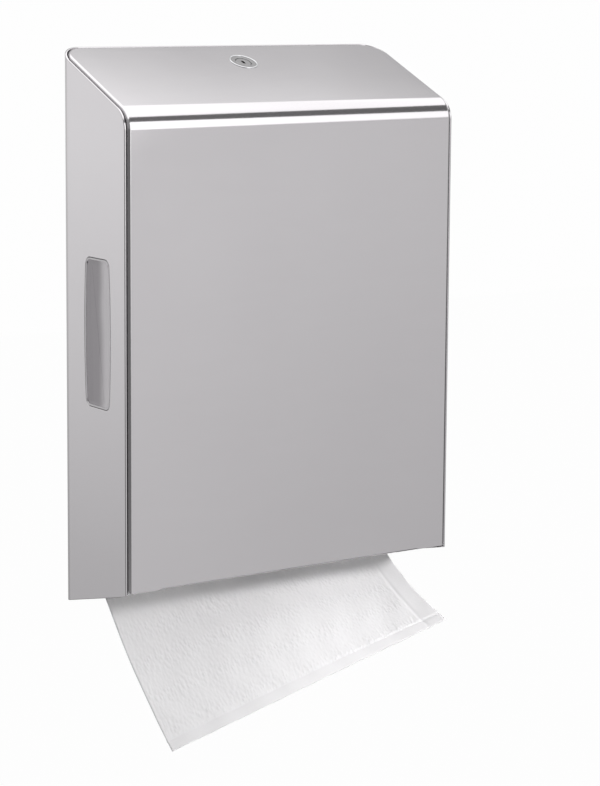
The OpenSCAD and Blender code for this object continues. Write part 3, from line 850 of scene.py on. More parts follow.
    def hand_over(
        self, slot: Slot, body: Body, replaces: Sequence[str] = (), sharp: float = 35.0
    ) -> bpy.types.Object:
        """Makes the form an object in metres that rides on a body.

        Args:
            slot: The slot that it takes its finish from.
            body: The body that it rides on.
            replaces: The CAD nodes that it stands for.
            sharp: The angle between faces, in degrees, past which an edge stays sharp.

        Returns:
            The new object.
        """
        self.move(Matrix.Scale(MM, 4))
        mesh = bpy.data.meshes.new(self.name)
        self.bm.to_mesh(mesh)
        self.bm.free()
        mesh.shade_smooth()
        mesh.set_sharp_from_angle(angle=math.radians(sharp))
        piece = bpy.data.objects.new(self.name, mesh)
        bpy.context.scene.collection.objects.link(piece)
        mesh.materials.append(FINISHES[slot].material())
        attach(piece, body.value)
        if replaces:
            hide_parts(*replaces)
        LOG.info("%s: %d faces on %s", self.name, len(mesh.polygons), body.value)
        return piece


def give_wall(piece: bpy.types.Object, thickness: float, edge: float = 0.0, even: bool = True) -> None:
    """Gives a sheet its thickness, inwards from its faces, and keeps its flats flat to the light.

    Args:
        piece: The sheet.
        thickness: Its thickness in millimetres.
        edge: How far its cut edges are broken, in millimetres.
        even: Whether its corners are as thick as its flats.
    """
    wall = piece.modifiers.new("wall", "SOLIDIFY")
    wall.thickness = thickness * MM
    wall.offset = -1.0
    wall.use_even_offset = even
    if edge:
        broken = piece.modifiers.new("broken_edges", "BEVEL")
        broken.width = edge * MM
        broken.segments = ROUND_STEPS
        broken.limit_method = "ANGLE"
        broken.angle_limit = math.radians(CORNER_DEG)
        broken.use_clamp_overlap = False
    keep_flats(piece)


def keep_flats(piece: bpy.types.Object) -> None:
    """Weights a piece's normals by face area, so that flats beside roundings stay flat.

    Args:
        piece: The piece.
    """
    weigh = piece.modifiers.new("flats", "WEIGHTED_NORMAL")
    weigh.keep_sharp = True
    weigh.weight = FLAT_WEIGHT


@dataclass(frozen=True)
class Cabinet:
    """Sizes that the cabinet's pieces share, in millimetres and degrees.

    Attributes:
        width: Over the sides.
        depth: From the wall to the door's face.
        front_h: Height of the front up to the top's plane.
        slope_deg: How steep the top is.
        skirt_deg: How steep the sides' bottom edges are.
        skirt_drop: How far the sides reach below the front at the face.
        rear_r: Radius of the rear corners.
        sheet_t: Thickness of the sheet.
        wall_t: Thickness of the shell over its folded edges.
        bend_r: Radius of the bend between front and top.
        hole_up: Height of the wall holes' middle above the front's bottom edge.
        seam: Gap between the door and the sides.
        edge_back: How far the sides' edges lie below the door's faces.
    """

    width: float = 265.0
    depth: float = 92.0
    front_h: float = 316.0
    slope_deg: float = 23.75
    skirt_deg: float = 13.75
    skirt_drop: float = 1.4
    rear_r: float = 16.5
    sheet_t: float = 1.0
    wall_t: float = 1.6
    bend_r: float = 17.0
    hole_up: float = 165.0
    seam: float = 0.45
    edge_back: float = 1.5

    @property
    def half(self) -> float:
        """Half the width."""
        return self.width / 2

    @property
    def nest(self) -> float:
        """How far the door lies inside the cabinet's outer faces."""
        return self.wall_t + self.seam

    @property
    def front_y(self) -> float:
        """The door's face."""
        return -self.depth

    @property
    def low_z(self) -> float:
        """The front's bottom edge."""
        return -self.hole_up

    @property
    def slope(self) -> float:
        """The top's slope in radians."""
        return math.radians(self.slope_deg)

    @property
    def bend_turn(self) -> float:
        """How far the sheet turns round the bend, in radians."""
        return math.pi / 2 - self.slope

    @property
    def bend_y(self) -> float:
        """The bend's axis, across the depth."""
        return self.front_y + self.bend_r

    @property
    def bend_z(self) -> float:
        """The bend's axis, in height."""
        rise = self.bend_r * (math.tan(self.slope) - 1 / math.cos(self.slope))
        return self.low_z + self.front_h + rise

    def top_z(self, y: float, below: float = 0.0) -> float:
        """Height of the sloping top, or of a plane below it.

        Args:
            y: Where, across the depth.
            below: How far below the top's face, square to it.

        Returns:
            The height.
        """
        face = self.low_z + self.front_h + (y - self.front_y) * math.tan(self.slope)
        return face - below / math.cos(self.slope)

    def skirt_z(self, y: float) -> float:
        """Height of the sides' bottom edges.

        Args:
            y: Where, across the depth.

        Returns:
            The height.
        """
        rise = (y - self.front_y) * math.tan(math.radians(self.skirt_deg))
        return self.low_z - self.skirt_drop - rise


CABINET = Cabinet()


@dataclass(frozen=True)
class LockSeat:
    """The lock's hole in the sloping top.

    Attributes:
        y: Its middle, across the depth.
        hole_r: Its radius.
        steps: Edges all round.
    """

    y: float = -26.0
    hole_r: float = 8.1
    steps: int = 64

    @property
    def place(self) -> Matrix:
        """Where the lock sits, square to the sloping top."""
        seat = Matrix.Translation((0.0, self.y, CABINET.top_z(self.y)))
        return seat @ Matrix.Rotation(CABINET.slope, 4, "X")


LOCK_SEAT = LockSeat()


@dataclass
class DoorSkin:
    """The door's one sheet: front, bend and sloping top, with rolled edges and a folded hem.

    Attributes:
        edge_return: Depth of the turned-in edges.
        return_rise: How far above the front's bottom the turned-in edges end.
        roll_r: Outer radius of the rolled edges.
        hem_half: Half the length of the hem.
        hem_h: Height of the hem.
        hem_fold: Depth of the hem's fold.
        bend_steps: Faces round the bend.
        roll_steps: Faces round the rolled edges.
        corner_steps: Faces round the wrapped corners.
        fold_steps: Faces round the hem's folds.
    """

    edge_return: float = 5.0
    return_rise: float = 6.0
    roll_r: float = 2.0
    hem_half: float = 106.0
    hem_h: float = 8.0
    hem_fold: float = 2.1
    bend_steps: int = 24
    roll_steps: int = 6
    corner_steps: int = 12
    fold_steps: int = 4

    @property
    def half(self) -> float:
        """Half the door's width."""
        return CABINET.half - CABINET.nest

    @property
    def rear_y(self) -> float:
        """The top's rear edge."""
        return -CABINET.nest

    def build(self) -> bpy.types.Object:
        """Builds the sheet from its bottom edge up.

        Returns:
            The door's skin.
        """
        c = CABINET
        form = Form("door_skin")
        across = [-self.half, -self.half, -self.hem_half, self.hem_half, self.half, self.half]
        inward = [self.edge_return, 0.0, 0.0, 0.0, 0.0, self.edge_return]
        rise = self.return_rise / self.edge_return
        start = form.chain((x, c.front_y + d, c.low_z + d * rise) for x, d in zip(across, inward))
        edge = form.push(start, (0.0, 0.0, 0.0))
        for vert in {v for e in edge for v in e.verts}:
            vert.co.z = c.bend_z
        edge = form.turn(edge, (0.0, c.bend_y, c.bend_z), (-1.0, 0.0, 0.0), c.bend_turn, self.bend_steps)
        edge = form.push(edge, (0.0, 0.0, 0.0))
        for vert in {v for e in edge for v in e.verts}:
            vert.co.z += (self.rear_y - vert.co.y) * math.tan(c.slope)
            vert.co.y = self.rear_y
        form.cap(edge)
        form.settle()
        corners_up = [e for e in form.bm.edges if self.at_rear_corner(e)]
        form.round_off(corners_up, c.rear_r - c.nest, self.corner_steps)
        form.round_off(form.sharp_edges(FOLD_DEG), self.roll_r, self.roll_steps)
        hem = form.push([e for e in form.bm.edges if self.at_fold(e)], (0.0, self.hem_fold, 0.0))
        form.push(hem, (0.0, 0.0, self.hem_h))
        form.settle()
        form.round_off(form.sharp_edges(FOLD_DEG), c.sheet_t, self.fold_steps)
        self.cut_lock_hole(form)
        form.settle(lambda face: face.normal.dot(Vector((0.0, -1.0, 1.0))))
        piece = form.hand_over(Slot.SATIN_STEEL, Body.DOOR, ["door_panel"])
        give_wall(piece, c.sheet_t)
        return piece

    def cut_lock_hole(self, form: Form) -> None:
        """Cuts the lock's hole out of the sloping top.

        Args:
            form: The door's skin.
        """
        facing = Vector((0.0, -math.sin(CABINET.slope), math.cos(CABINET.slope)))
        flats = [f for f in form.bm.faces if abs(f.normal.dot(facing)) > ALIGNED]
        rim = form.drop(max(flats, key=BMFace.calc_area))
        hole = form.ring(LOCK_SEAT.hole_r, LOCK_SEAT.steps, LOCK_SEAT.place)
        form.fill(rim + hole, facing, (0.0, 0.0, 0.0), ACROSS)

    def at_rear_corner(self, edge: BMEdge) -> bool:
        """Tells whether an edge is an upright corner at the wall.

        Args:
            edge: The edge.

        Returns:
            Whether it is.
        """
        return all(abs(v.co.y - self.rear_y) < TOUCH and abs(abs(v.co.x) - self.half) < TOUCH
                   for v in edge.verts)

    def at_fold(self, edge: BMEdge) -> bool:
        """Tells whether an edge is the middle of the front's bottom edge.

        Args:
            edge: The edge.

        Returns:
            Whether it is.
        """
        return all(abs(v.co.z - CABINET.low_z) < TOUCH and abs(v.co.x) < self.hem_half + NEAR
                   and abs(v.co.y - CABINET.front_y) < TOUCH for v in edge.verts)


@dataclass(frozen=True)
class WindowPort:
    """The side windows' opening, with long sides that bow out.

    Attributes:
        y: Its middle, across the depth.
        z: Its middle, in height.
        height: Its height.
        width: Its width at the middle.
        bow: How far its long sides bow out.
        corner_r: Radius of its corners.
        steps: Edges along each bowed side.
        corner_steps: Edges round each corner.
    """

    y: float = -54.5
    z: float = 4.0
    height: float = 100.0
    width: float = 34.5
    bow: float = 2.0
    corner_r: float = 5.0
    steps: int = 14
    corner_steps: int = 8

    def face(self, form: Form, x: float, grow: float) -> BMFace:
        """Makes a flat face of the opening's outline, in the left side's plane.

        Args:
            form: Where it is made.
            x: Its place across the cabinet.
            grow: How far it is larger all round.

        Returns:
            The face.
        """
        bow_r = (self.height ** 2 / 4 + self.bow ** 2) / (2 * self.bow)
        reach, tall = bow_r + grow, self.height / 2 + grow
        lean = math.asin(tall / reach)
        ends: list[BMVert] = []
        for way in (-1.0, 1.0):
            middle = self.y + way * (self.width / 2 - bow_r)
            start = (x, middle + way * reach * math.cos(lean), self.z - way * tall)
            ends += form.arc(start, (x, middle, self.z), ACROSS, 2 * lean, self.steps)
        form.join(ends[1], ends[2])
        form.join(ends[3], ends[0])
        loop, before = [ends[0]], ends[3]
        while len(loop) < 2 * self.steps + 2:
            here = loop[-1]
            onward = next(e.other_vert(here) for e in here.link_edges if e.other_vert(here) is not before)
            loop.append(onward)
            before = here
        form.bm.faces.new(loop)
        form.round_corners(ends, self.corner_r + grow, self.corner_steps)
        flats = [f for f in form.bm.faces if abs(f.calc_center_median().x - x) < NEAR]
        return max(flats, key=BMFace.calc_area)


PORT = WindowPort()


@dataclass
class CabinetShell:
    """The cabinet's wrapped sheet with its sides, round rear corners and back, and the door's stops.

    Attributes:
        bend_steps: Edges round the bend.
        corner_steps: Faces round the rear corners.
        hole_x: The wall holes' distance from the middle, across.
        hole_z: The wall holes' distance from the middle, in height.
        hole_r: The wall holes' radius.
        hole_steps: Edges round each wall hole.
        stop_inset: How far the stops lie below the door's faces.
        stop_w: The stops' width.
        stop_rise: Where the stops start, above the front's bottom edge.
        cut_edge: How far the sheet's folded edges are rounded.
        rear_share: Share of the rear corner over which the edge rises.
        rear_back: How far below the top's plane the edge lies at the wall.
    """

    bend_steps: int = 24
    corner_steps: int = 14
    hole_x: float = 90.0
    hole_z: float = 115.0
    hole_r: float = 3.25
    hole_steps: int = 24
    stop_inset: float = 5.5
    stop_w: float = 10.0
    stop_rise: float = 30.0
    cut_edge: float = 0.5
    rear_share: float = 0.8
    rear_back: float = 0.7

    def build(self) -> None:
        """Builds the shell and the stops."""
        c = CABINET
        form = Form("cabinet_shell")
        low_z = c.skirt_z(c.front_y + c.edge_back)
        bottom, top = self.rim_line(form, -c.half, c.edge_back, low_z, -c.rear_r)
        heel = form.bm.verts.new((-c.half, -c.rear_r, c.skirt_z(-c.rear_r)))
        form.join(top, heel, bottom)
        form.drop(PORT.face(form, -c.half, 0.0))
        upright = form.bm.edges.get((top, heel))
        form.fill(form.bm.edges, (-1.0, 0.0, 0.0), (0.0, PORT.y, 0.0), (0.0, 1.0, 0.0))
        centre = (-c.half + c.rear_r, -c.rear_r, 0.0)
        rear = form.turn([upright], centre, UP, -math.pi / 2, self.corner_steps)[0]
        for vert in form.bm.verts:
            if vert.co.y > -c.rear_r + TOUCH:
                risen = min(1.0, (vert.co.y + c.rear_r) / (c.rear_r * self.rear_share))
                back = c.edge_back + (self.rear_back - c.edge_back) * risen
                vert.co.z = c.top_z(vert.co.y, back) if vert.co.z > 0 else c.skirt_z(vert.co.y)
        self.back(form, rear)
        form.mirror_x()
        form.settle(lambda face: face.normal.dot(Vector((face.calc_center_median().x, c.half, 0.0))))
        piece = form.hand_over(Slot.SATIN_STEEL, Body.CHASSIS, ["body_shell"], sharp=40.0)
        give_wall(piece, c.wall_t, self.cut_edge)
        self.stops()

    def rim_line(
        self, form: Form, x: float, inset: float, low_z: float, end_y: float
    ) -> tuple[BMVert, BMVert]:
        """Draws a line up the front, round the bend and along the top, below the door's faces.

        Args:
            form: Where it is drawn.
            x: Its place across the cabinet.
            inset: How far below the door's faces.
            low_z: Where it starts, in height.
            end_y: Where it ends, across the depth.

        Returns:
            Its first and last vertex.
        """
        c = CABINET
        foot = form.bm.verts.new((x, c.front_y + inset, low_z))
        start, centre = (x, c.front_y + inset, c.bend_z), (x, c.bend_y, c.bend_z)
        knee, brow = form.arc(start, centre, (-1.0, 0.0, 0.0), c.bend_turn, self.bend_steps)
        crest = form.bm.verts.new((x, end_y, c.top_z(end_y, inset)))
        form.join(foot, knee)
        form.join(brow, crest)
        return foot, crest

    def back(self, form: Form, rear: BMEdge) -> None:
        """Fills the left half of the back, with its wall holes.

        Args:
            form: The shell.
            rear: The upright edge where the left corner ends.
        """
        low, high = sorted(rear.verts, key=lambda v: v.co.z)
        middle = [form.bm.verts.new((0.0, 0.0, v.co.z)) for v in (low, high)]
        form.join(high, middle[1], middle[0], low)
        edges = [rear, *middle[0].link_edges, *middle[1].link_edges]
        turn = Matrix.Rotation(math.pi / 2, 4, "X")
        for z in (-self.hole_z, self.hole_z):
            place = Matrix.Translation((-self.hole_x, 0.0, z)) @ turn
            edges += form.ring(self.hole_r, self.hole_steps, place)
        form.fill(set(edges), (0.0, 1.0, 0.0), (-self.hole_x, 0.0, 0.0), ACROSS)

    def stops(self) -> None:
        """Builds the strips inside the sides that the door shuts on."""
        c = CABINET
        form = Form("door_stops")
        low_z = c.low_z + self.stop_rise
        self.rim_line(form, -c.half + c.wall_t, self.stop_inset, low_z, -c.rear_r)
        form.push(list(form.bm.edges), (self.stop_w, 0.0, 0.0))
        form.mirror_x()
        form.settle()
        for face in form.bm.faces:
            if face.normal.dot(Vector((0.0, -1.0, 1.0))) < 0:
                face.normal_flip()
        give_wall(form.hand_over(Slot.SATIN_STEEL, Body.CHASSIS, sharp=40.0), c.sheet_t)


@dataclass
class SideWindow:
    """One side's window: a slim trim ring in the opening and a dished smoked lens behind it.

    Attributes:
        side: Which side.
        trim_gap: Gap between the opening and the trim.
        trim_w: The trim's width.
        trim_h: The trim's depth into the opening.
        trim_r: How far the trim's edges are rounded.
        proud: How far the trim stands out of the side.
        lap: How far the lens reaches behind the side.
        step_out: How far the lens stands into the opening.
        dish: How deep the lens is dished.
        flank: Half-width and half-height of the dish's flat.
        rings: Faces from the dish's edge to its flat.
        lens_t: The lens's thickness.
    """

    side: Side
    trim_gap: float = 0.3
    trim_w: float = 1.2
    trim_h: float = 1.5
    trim_r: float = 0.35
    proud: float = 0.1
    lap: float = 5.0
    step_out: float = 1.3
    dish: float = 0.3
    flank: tuple[float, float] = (8.5, 46.0)
    rings: int = 10
    lens_t: float = 0.9

    def build(self) -> None:
        """Builds the trim and the lens."""
        self.trim()
        self.lens()

    def face_way(self, form: Form) -> None:
        """Mirrors a form to the right side, for that side.

        Args:
            form: The form, built for the left side.
        """
        if self.side is Side.RIGHT:
            bmesh.ops.scale(form.bm, vec=(-1.0, 1.0, 1.0), verts=form.bm.verts)
            bmesh.ops.reverse_faces(form.bm, faces=form.bm.faces)

    def trim(self) -> None:
        """Builds the trim ring."""
        form = Form(f"window_trim_{self.side.name.lower()}")
        face = PORT.face(form, -CABINET.half - self.proud, -self.trim_gap)
        bmesh.ops.inset_individual(form.bm, faces=[face], thickness=self.trim_w, use_even_offset=True)
        form.drop(face)
        form.push([e for e in form.bm.edges if e.is_boundary], (self.trim_h + self.proud, 0.0, 0.0))
        form.settle(lambda f: -f.normal.x)
        form.round_off(form.sharp_edges(CORNER_DEG), self.trim_r, ROUND_STEPS)
        self.face_way(form)
        rim = f"window_rim_{self.side.name.lower()}"
        keep_flats(form.hand_over(Slot.WINDOW_TRIM, Body.CHASSIS, [rim]))

    def lens(self) -> None:
        """Builds the lens, flat behind the side and dished in the opening."""
        form = Form(f"window_lens_dish_{self.side.name.lower()}")
        inner = -CABINET.half + CABINET.wall_t
        face = PORT.face(form, inner, self.lap)
        margin = self.trim_gap + self.trim_w
        bmesh.ops.inset_individual(form.bm, faces=[face], thickness=self.lap + margin, use_even_offset=True)
        bmesh.ops.inset_individual(form.bm, faces=[face], thickness=0.0)
        bmesh.ops.translate(form.bm, vec=(-self.step_out, 0.0, 0.0), verts=list(face.verts))
        half = (PORT.width / 2 - margin, PORT.height / 2 - margin)
        to_middle = Matrix.Translation((0.0, -PORT.y, -PORT.z))
        at, size = 0.0, [1.0, 1.0]
        for ring in range(1, self.rings + 1):
            share = ring / self.rings
            bmesh.ops.inset_individual(form.bm, faces=[face], thickness=0.0)
            want = [1 + (flat / whole - 1) * share for flat, whole in zip(self.flank, half)]
            shrink = (1.0, want[0] / size[0], want[1] / size[1])
            bmesh.ops.scale(form.bm, vec=shrink, space=to_middle, verts=list(face.verts))
            depth = self.dish * (1 - math.cos(math.pi * share)) / 2
            bmesh.ops.translate(form.bm, vec=(depth - at, 0.0, 0.0), verts=list(face.verts))
            at, size = depth, want
        form.settle(lambda f: -f.normal.x)
        self.face_way(form)
        lens = f"window_lens_{self.side.name.lower()}"
        piece = form.hand_over(Slot.SMOKED_LENS, Body.CHASSIS, [lens], sharp=CORNER_DEG)
        give_wall(piece, self.lens_t, even=False)


@dataclass
class CamLock:
    """The lock's face and barrel in the door, and the plug with its keyhole that turns in it.

    Attributes:
        face_r: Radius of its face.
        face_h: How far its face stands out of the top.
        bead_w: Width of the bead round the face.
        bead_h: How far the bead stands above the face.
        bead_steps: Edges over the bead.
        barrel_r: Radius of the barrel.
        barrel_l: Length of the barrel below the top's face.
        plug_r: Radius of the plug.
        plug_l: Length of the plug below the top's face.
        shank_r: Radius of the plug's shank for the cam.
        shank_l: Length of the shank.
        fit: Gap round the plug.
        sunk: How far the plug lies below the face.
        seat: Gap between the face's underside and the top.
        edge_r: How far the face's edges are rounded.
        key_w: Width of the keyhole.
        key_l: Length of the keyhole.
        key_deep: Depth of the keyhole.
        key_round: How far its corners are rounded, as a share of its width.
        key_steps: Edges round each of its corners.
    """

    face_r: float = 10.2
    face_h: float = 0.15
    bead_w: float = 1.15
    bead_h: float = 0.36
    bead_steps: int = 8
    barrel_r: float = 8.0
    barrel_l: float = 14.3
    plug_r: float = 5.5
    plug_l: float = 14.5
    shank_r: float = 3.5
    shank_l: float = 2.0
    fit: float = 0.3
    sunk: float = 0.25
    seat: float = 0.02
    edge_r: float = 0.25
    key_w: float = 2.2
    key_l: float = 4.6
    key_deep: float = 8.5
    key_round: float = 0.45
    key_steps: int = 4

    def build(self) -> None:
        """Builds the housing, its bead and the plug."""
        self.housing()
        self.bead()
        self.plug()

    def housing(self) -> None:
        """Spins the housing's section."""
        form = Form("lock_face")
        low, bore = self.face_h, self.plug_r + self.fit
        edge = self.face_r - self.bead_w / 2
        self.spin(form, [(bore, -self.barrel_l), (self.barrel_r, -self.barrel_l), (self.barrel_r, self.seat),
                         (edge, self.seat), (edge, low), (bore, low)])
        self.soften(form, low)
        form.move(LOCK_SEAT.place)
        keep_flats(form.hand_over(Slot.LOCK_METAL, Body.DOOR, ["lock_housing"]))

    def soften(self, form: Form, level: float) -> None:
        """Rounds the edges of a face off.

        Args:
            form: The piece.
            level: Height of its face.
        """
        edges = [e for e in form.sharp_edges(CORNER_DEG) if min(v.co.z for v in e.verts) > level - NEAR]
        form.round_off(edges, self.edge_r, ROUND_STEPS)

    def spin(self, form: Form, section: list[tuple[float, float]]) -> None:
        """Spins a closed section round the lock's axis.

        Args:
            form: The piece.
            section: Its points, each a radius and a height.
        """
        edges = form.chain(((r, 0.0, h) for r, h in section), closed=True)
        geom = [*{v for e in edges for v in e.verts}, *edges]
        bmesh.ops.spin(form.bm, geom=geom, cent=(0.0, 0.0, 0.0), axis=UP, angle=2 * math.pi,
                       steps=LOCK_SEAT.steps, use_merge=True)
        form.settle()

    def bead(self) -> None:
        """Spins the round bead about the face."""
        form = Form("lock_bead")
        middle, low = self.face_r - self.bead_w / 2, self.face_h
        turns = [math.pi * i / self.bead_steps for i in range(self.bead_steps + 1)]
        arch = [(middle + math.cos(a) * self.bead_w / 2, low + math.sin(a) * self.bead_h) for a in turns]
        self.spin(form, [(self.face_r - self.bead_w, self.seat), (self.face_r, self.seat), *arch])
        form.move(LOCK_SEAT.place)
        form.hand_over(Slot.PLATED_STEEL, Body.DOOR, sharp=CORNER_DEG)

    def plug(self) -> None:
        """Builds the plug from its face down."""
        form = Form("lock_core_plug")
        top = self.face_h - self.sunk
        rim = form.ring(self.plug_r, LOCK_SEAT.steps, Matrix.Translation((0.0, 0.0, top)))
        wide, tall = self.key_w / 2, self.key_l / 2
        spots = [(-wide, -tall), (wide, -tall), (wide, tall), (-wide, tall)]
        slot = form.bm.faces.new([form.bm.verts.new((x, y, top)) for x, y in spots])
        form.round_corners(list(slot.verts), self.key_w * self.key_round, self.key_steps)
        hole = form.drop(next(iter(form.bm.faces)))
        form.fill(rim + hole, UP, (0.0, 0.0, 0.0), ACROSS)
        form.cap(form.push(hole, (0.0, 0.0, -self.key_deep)))
        foot = form.cap(form.push(rim, (0.0, 0.0, -self.plug_l - top)))
        step = self.plug_r - self.shank_r
        bmesh.ops.inset_individual(form.bm, faces=foot, thickness=step, use_even_offset=True)
        tip = bmesh.ops.extrude_face_region(form.bm, geom=foot)["geom"]
        ends = [g for g in tip if isinstance(g, BMVert)]
        bmesh.ops.translate(form.bm, vec=(0.0, 0.0, -self.shank_l), verts=ends)
        bmesh.ops.delete(form.bm, geom=foot, context="FACES_ONLY")
        form.settle()
        self.soften(form, top)
        form.move(LOCK_SEAT.place)
        keep_flats(form.hand_over(Slot.LOCK_METAL, Body.LOCK_CORE, ["lock_plug"]))


@dataclass
class PaperPack:
    """The pack of folded towels: a stack of soft folds that leans on the sloping floor.

    Attributes:
        half: Half the towels' width.
        front_y: The pack's front.
        rear_y: The pack's rear.
        low_z: Height of its lowest fold at the front.
        height: Its height.
        folds: How many folds lie in it.
        fold_r: How round each fold is.
        loft: Share of its place in the stack that a fold fills.
        slack: How far a fold may lie out of line.
        sway: Share of the slack by which a fold may lie to one side.
        seed: Start of the random draws.
    """

    half: float = 118.0
    front_y: float = -77.5
    rear_y: float = -3.7
    low_z: float = -165.65
    height: float = 238.0
    folds: int = 84
    fold_r: float = 1.25
    loft: float = 0.97
    slack: float = 0.7
    sway: float = 0.3
    seed: int = 7

    def build(self) -> bpy.types.Object:
        """Stacks the folds.

        Returns:
            The pack.
        """
        draw = random.Random(self.seed)
        form = Form("folded_pack")
        pitch = self.height / self.folds
        depth, middle_y = self.rear_y - self.front_y, (self.front_y + self.rear_y) / 2
        for number in range(self.folds):
            made = bmesh.ops.create_cube(form.bm, size=1.0)["verts"]
            wide = 2 * self.half - draw.uniform(0, 2 * self.slack)
            deep = depth - draw.uniform(0, 2 * self.slack)
            bmesh.ops.scale(form.bm, vec=(wide, deep, self.loft * pitch), verts=made)
            folds = {e for v in made for e in v.link_edges if abs(e.verts[0].co.x - e.verts[1].co.x) > pitch}
            aside = draw.uniform(-self.sway, self.sway) * self.slack
            bmesh.ops.translate(form.bm, vec=(aside, middle_y, (number + 0.5) * pitch), verts=made)
            form.round_off(list(folds), self.fold_r, ROUND_STEPS)
        lean = math.tan(math.radians(CABINET.skirt_deg))
        for vert in form.bm.verts:
            vert.co.z += self.low_z - (vert.co.y - self.front_y) * lean
        form.bm.normal_update()
        return form.hand_over(Slot.FOLDED_PACK, Body.CHASSIS, ["towel_pack"], sharp=50.0)


@dataclass
class HangingTowel:
    """The towel that hangs out of the throat, drawn forward and to the right.

    Attributes:
        half: Half its width.
        start_y: Where it leaves the pack.
        start_z: Height at which it leaves the pack.
        forward: How far its left and right corners hang forward.
        drop: How far its left and right corners hang down.
        wave: Height of its soft waves.
        forward_power: How its reach grows down its length.
        drop_power: How its fall grows down its length.
        thickness: Thickness of the paper with its embossing.
        mesh_step: Distance between the points of its mesh.
        ripple: Height of the soft ripples.
        ripple_w: Their distances, across and along the towel.
        ripple_bend: How far they bend from side to side, in radians.
        hem: Width of the plain band along its hem.
        border: Width of the plain band along its right edge.
        crease: Depth of the creases beside the plain bands.
        crease_w: Width of the creases.
        under: The way its underside looks.
    """

    half: float = 118.0
    start_y: float = -35.0
    start_z: float = -176.35
    forward: tuple[float, float] = (91.0, 76.5)
    drop: tuple[float, float] = (88.0, 37.0)
    wave: float = 4.0
    forward_power: float = 1.08
    drop_power: float = 1.05
    thickness: float = 0.5
    mesh_step: float = 1.0
    ripple: float = 0.3
    ripple_w: tuple[float, float] = (29.0, 64.0)
    ripple_bend: float = 1.6
    hem: float = 8.0
    border: float = 15.0
    crease: float = 0.5
    crease_w: float = 0.9
    under: Vector = field(default_factory=lambda: Vector((0.0, 0.62825, -0.77803)))

    @property
    def lengths(self) -> tuple[float, float]:
        """Lengths of the left and right edges."""
        left, right = (math.hypot(*side) for side in zip(self.forward, self.drop))
        return left, right

    def length_at(self, t: float) -> float:
        """Length of the towel at a share of its width from the left."""
        return self.lengths[0] + (self.lengths[1] - self.lengths[0]) * t

    def place(self, across: float, down: float) -> Vector:
        """Finds a point of the towel's upper face.

        Args:
            across: From -1 at the left to 1 at the right.
            down: From 0 at the throat to 1 at the hem.

        Returns:
            The point.
        """
        t = (across + 1) / 2
        reach = self.forward[0] + (self.forward[1] - self.forward[0]) * t
        fall = self.drop[0] + (self.drop[1] - self.drop[0]) * t
        swell = self.wave * math.sin(math.pi * down) * math.cos(math.pi * across)
        point = Vector((across * self.half, self.start_y - reach * down ** (1 + (self.forward_power - 1) * t),
                        self.start_z - fall * down ** (1 + (self.drop_power - 1) * t)))
        return point - (swell + self.relief(across, down)) * self.under

    def relief(self, across: float, down: float) -> float:
        """Height of the ripples and creases.

        Args:
            across: From -1 at the left to 1 at the right.
            down: From 0 at the throat to 1 at the hem.

        Returns:
            The height above the paper's plain face.
        """
        length = self.length_at((across + 1) / 2)
        x, s = across * self.half, down * length
        from_hem, from_right = length - s, self.half - x
        bend = self.ripple_bend * math.sin(2 * math.pi * s / self.ripple_w[1])
        ripples = self.ripple * down * math.sin(2 * math.pi * x / self.ripple_w[0] + bend)
        off_lines = (from_hem - self.hem, from_right - self.border)
        creases = sum(math.exp(-(off / self.crease_w) ** 2) for off in off_lines)
        return ripples - self.crease * creases

    def build(self) -> bpy.types.Object:
        """Lays a flat grid out and hangs it.

        Returns:
            The towel.
        """
        form = Form("hanging_towel")
        form.bm.loops.layers.uv.new("flat")
        columns = round(2 * self.half / self.mesh_step)
        rows = round(max(self.lengths) / self.mesh_step)
        bmesh.ops.create_grid(form.bm, x_segments=columns, y_segments=rows, size=0.5, calc_uvs=True)
        for vert in form.bm.verts:
            vert.co = self.place(2 * vert.co.x, max(0.0, 0.5 - vert.co.y))
        form.bm.normal_update()
        form.bm.faces.ensure_lookup_table()
        if form.bm.faces[0].normal.dot(self.under) > 0:
            bmesh.ops.reverse_faces(form.bm, faces=form.bm.faces)
        piece = form.hand_over(Slot.TOWEL_PAPER, Body.TOWEL, ["towel_sheet"], sharp=180.0)
        wall = piece.modifiers.new("paper", "SOLIDIFY")
        wall.thickness = self.thickness * MM
        wall.offset = -1.0
        flat = (2 * self.half * MM, max(self.lengths) * MM)
        area = 2 * self.half * sum(self.lengths) / 2 * MM * MM
        return piece


@dataclass
class CadDress:
    """Gives the CAD nodes that stay in view their finishes.

    Attributes:
        frame: The loaded frame.
    """

    frame: dict

    def build(self) -> None:
        """Puts each node's finish in its material slots."""
        for row in self.frame["record"]["subparts"]:
            node = self.frame["nodes"][row["node"]]
            finish = FINISHES[Slot(row["material_slot"])]
            if not node.material_slots:
                node.data.materials.append(finish.material())
            for place in node.material_slots:
                place.material = finish.material()
        LOG.info("finishes on %d nodes", len(self.frame["nodes"]))


@dataclass(frozen=True)
class Glow:
    """How a panel's brightness changes along one direction.

    Attributes:
        along: The direction.
        stops: Places along it in metres, each with its brightness.
    """

    along: Point
    stops: tuple[tuple[float, float], ...]


@dataclass(frozen=True)
class Panel:
    """A curved light panel that stands round the cabinet.

    Attributes:
        name: Its name.
        turn: Where it starts and ends, in degrees from the front towards the right.
        height: Its lowest and highest edge, in metres.
        glows: How bright it is; several are multiplied.
    """

    name: str
    turn: tuple[float, float]
    height: tuple[float, float]
    glows: tuple[Glow, ...]


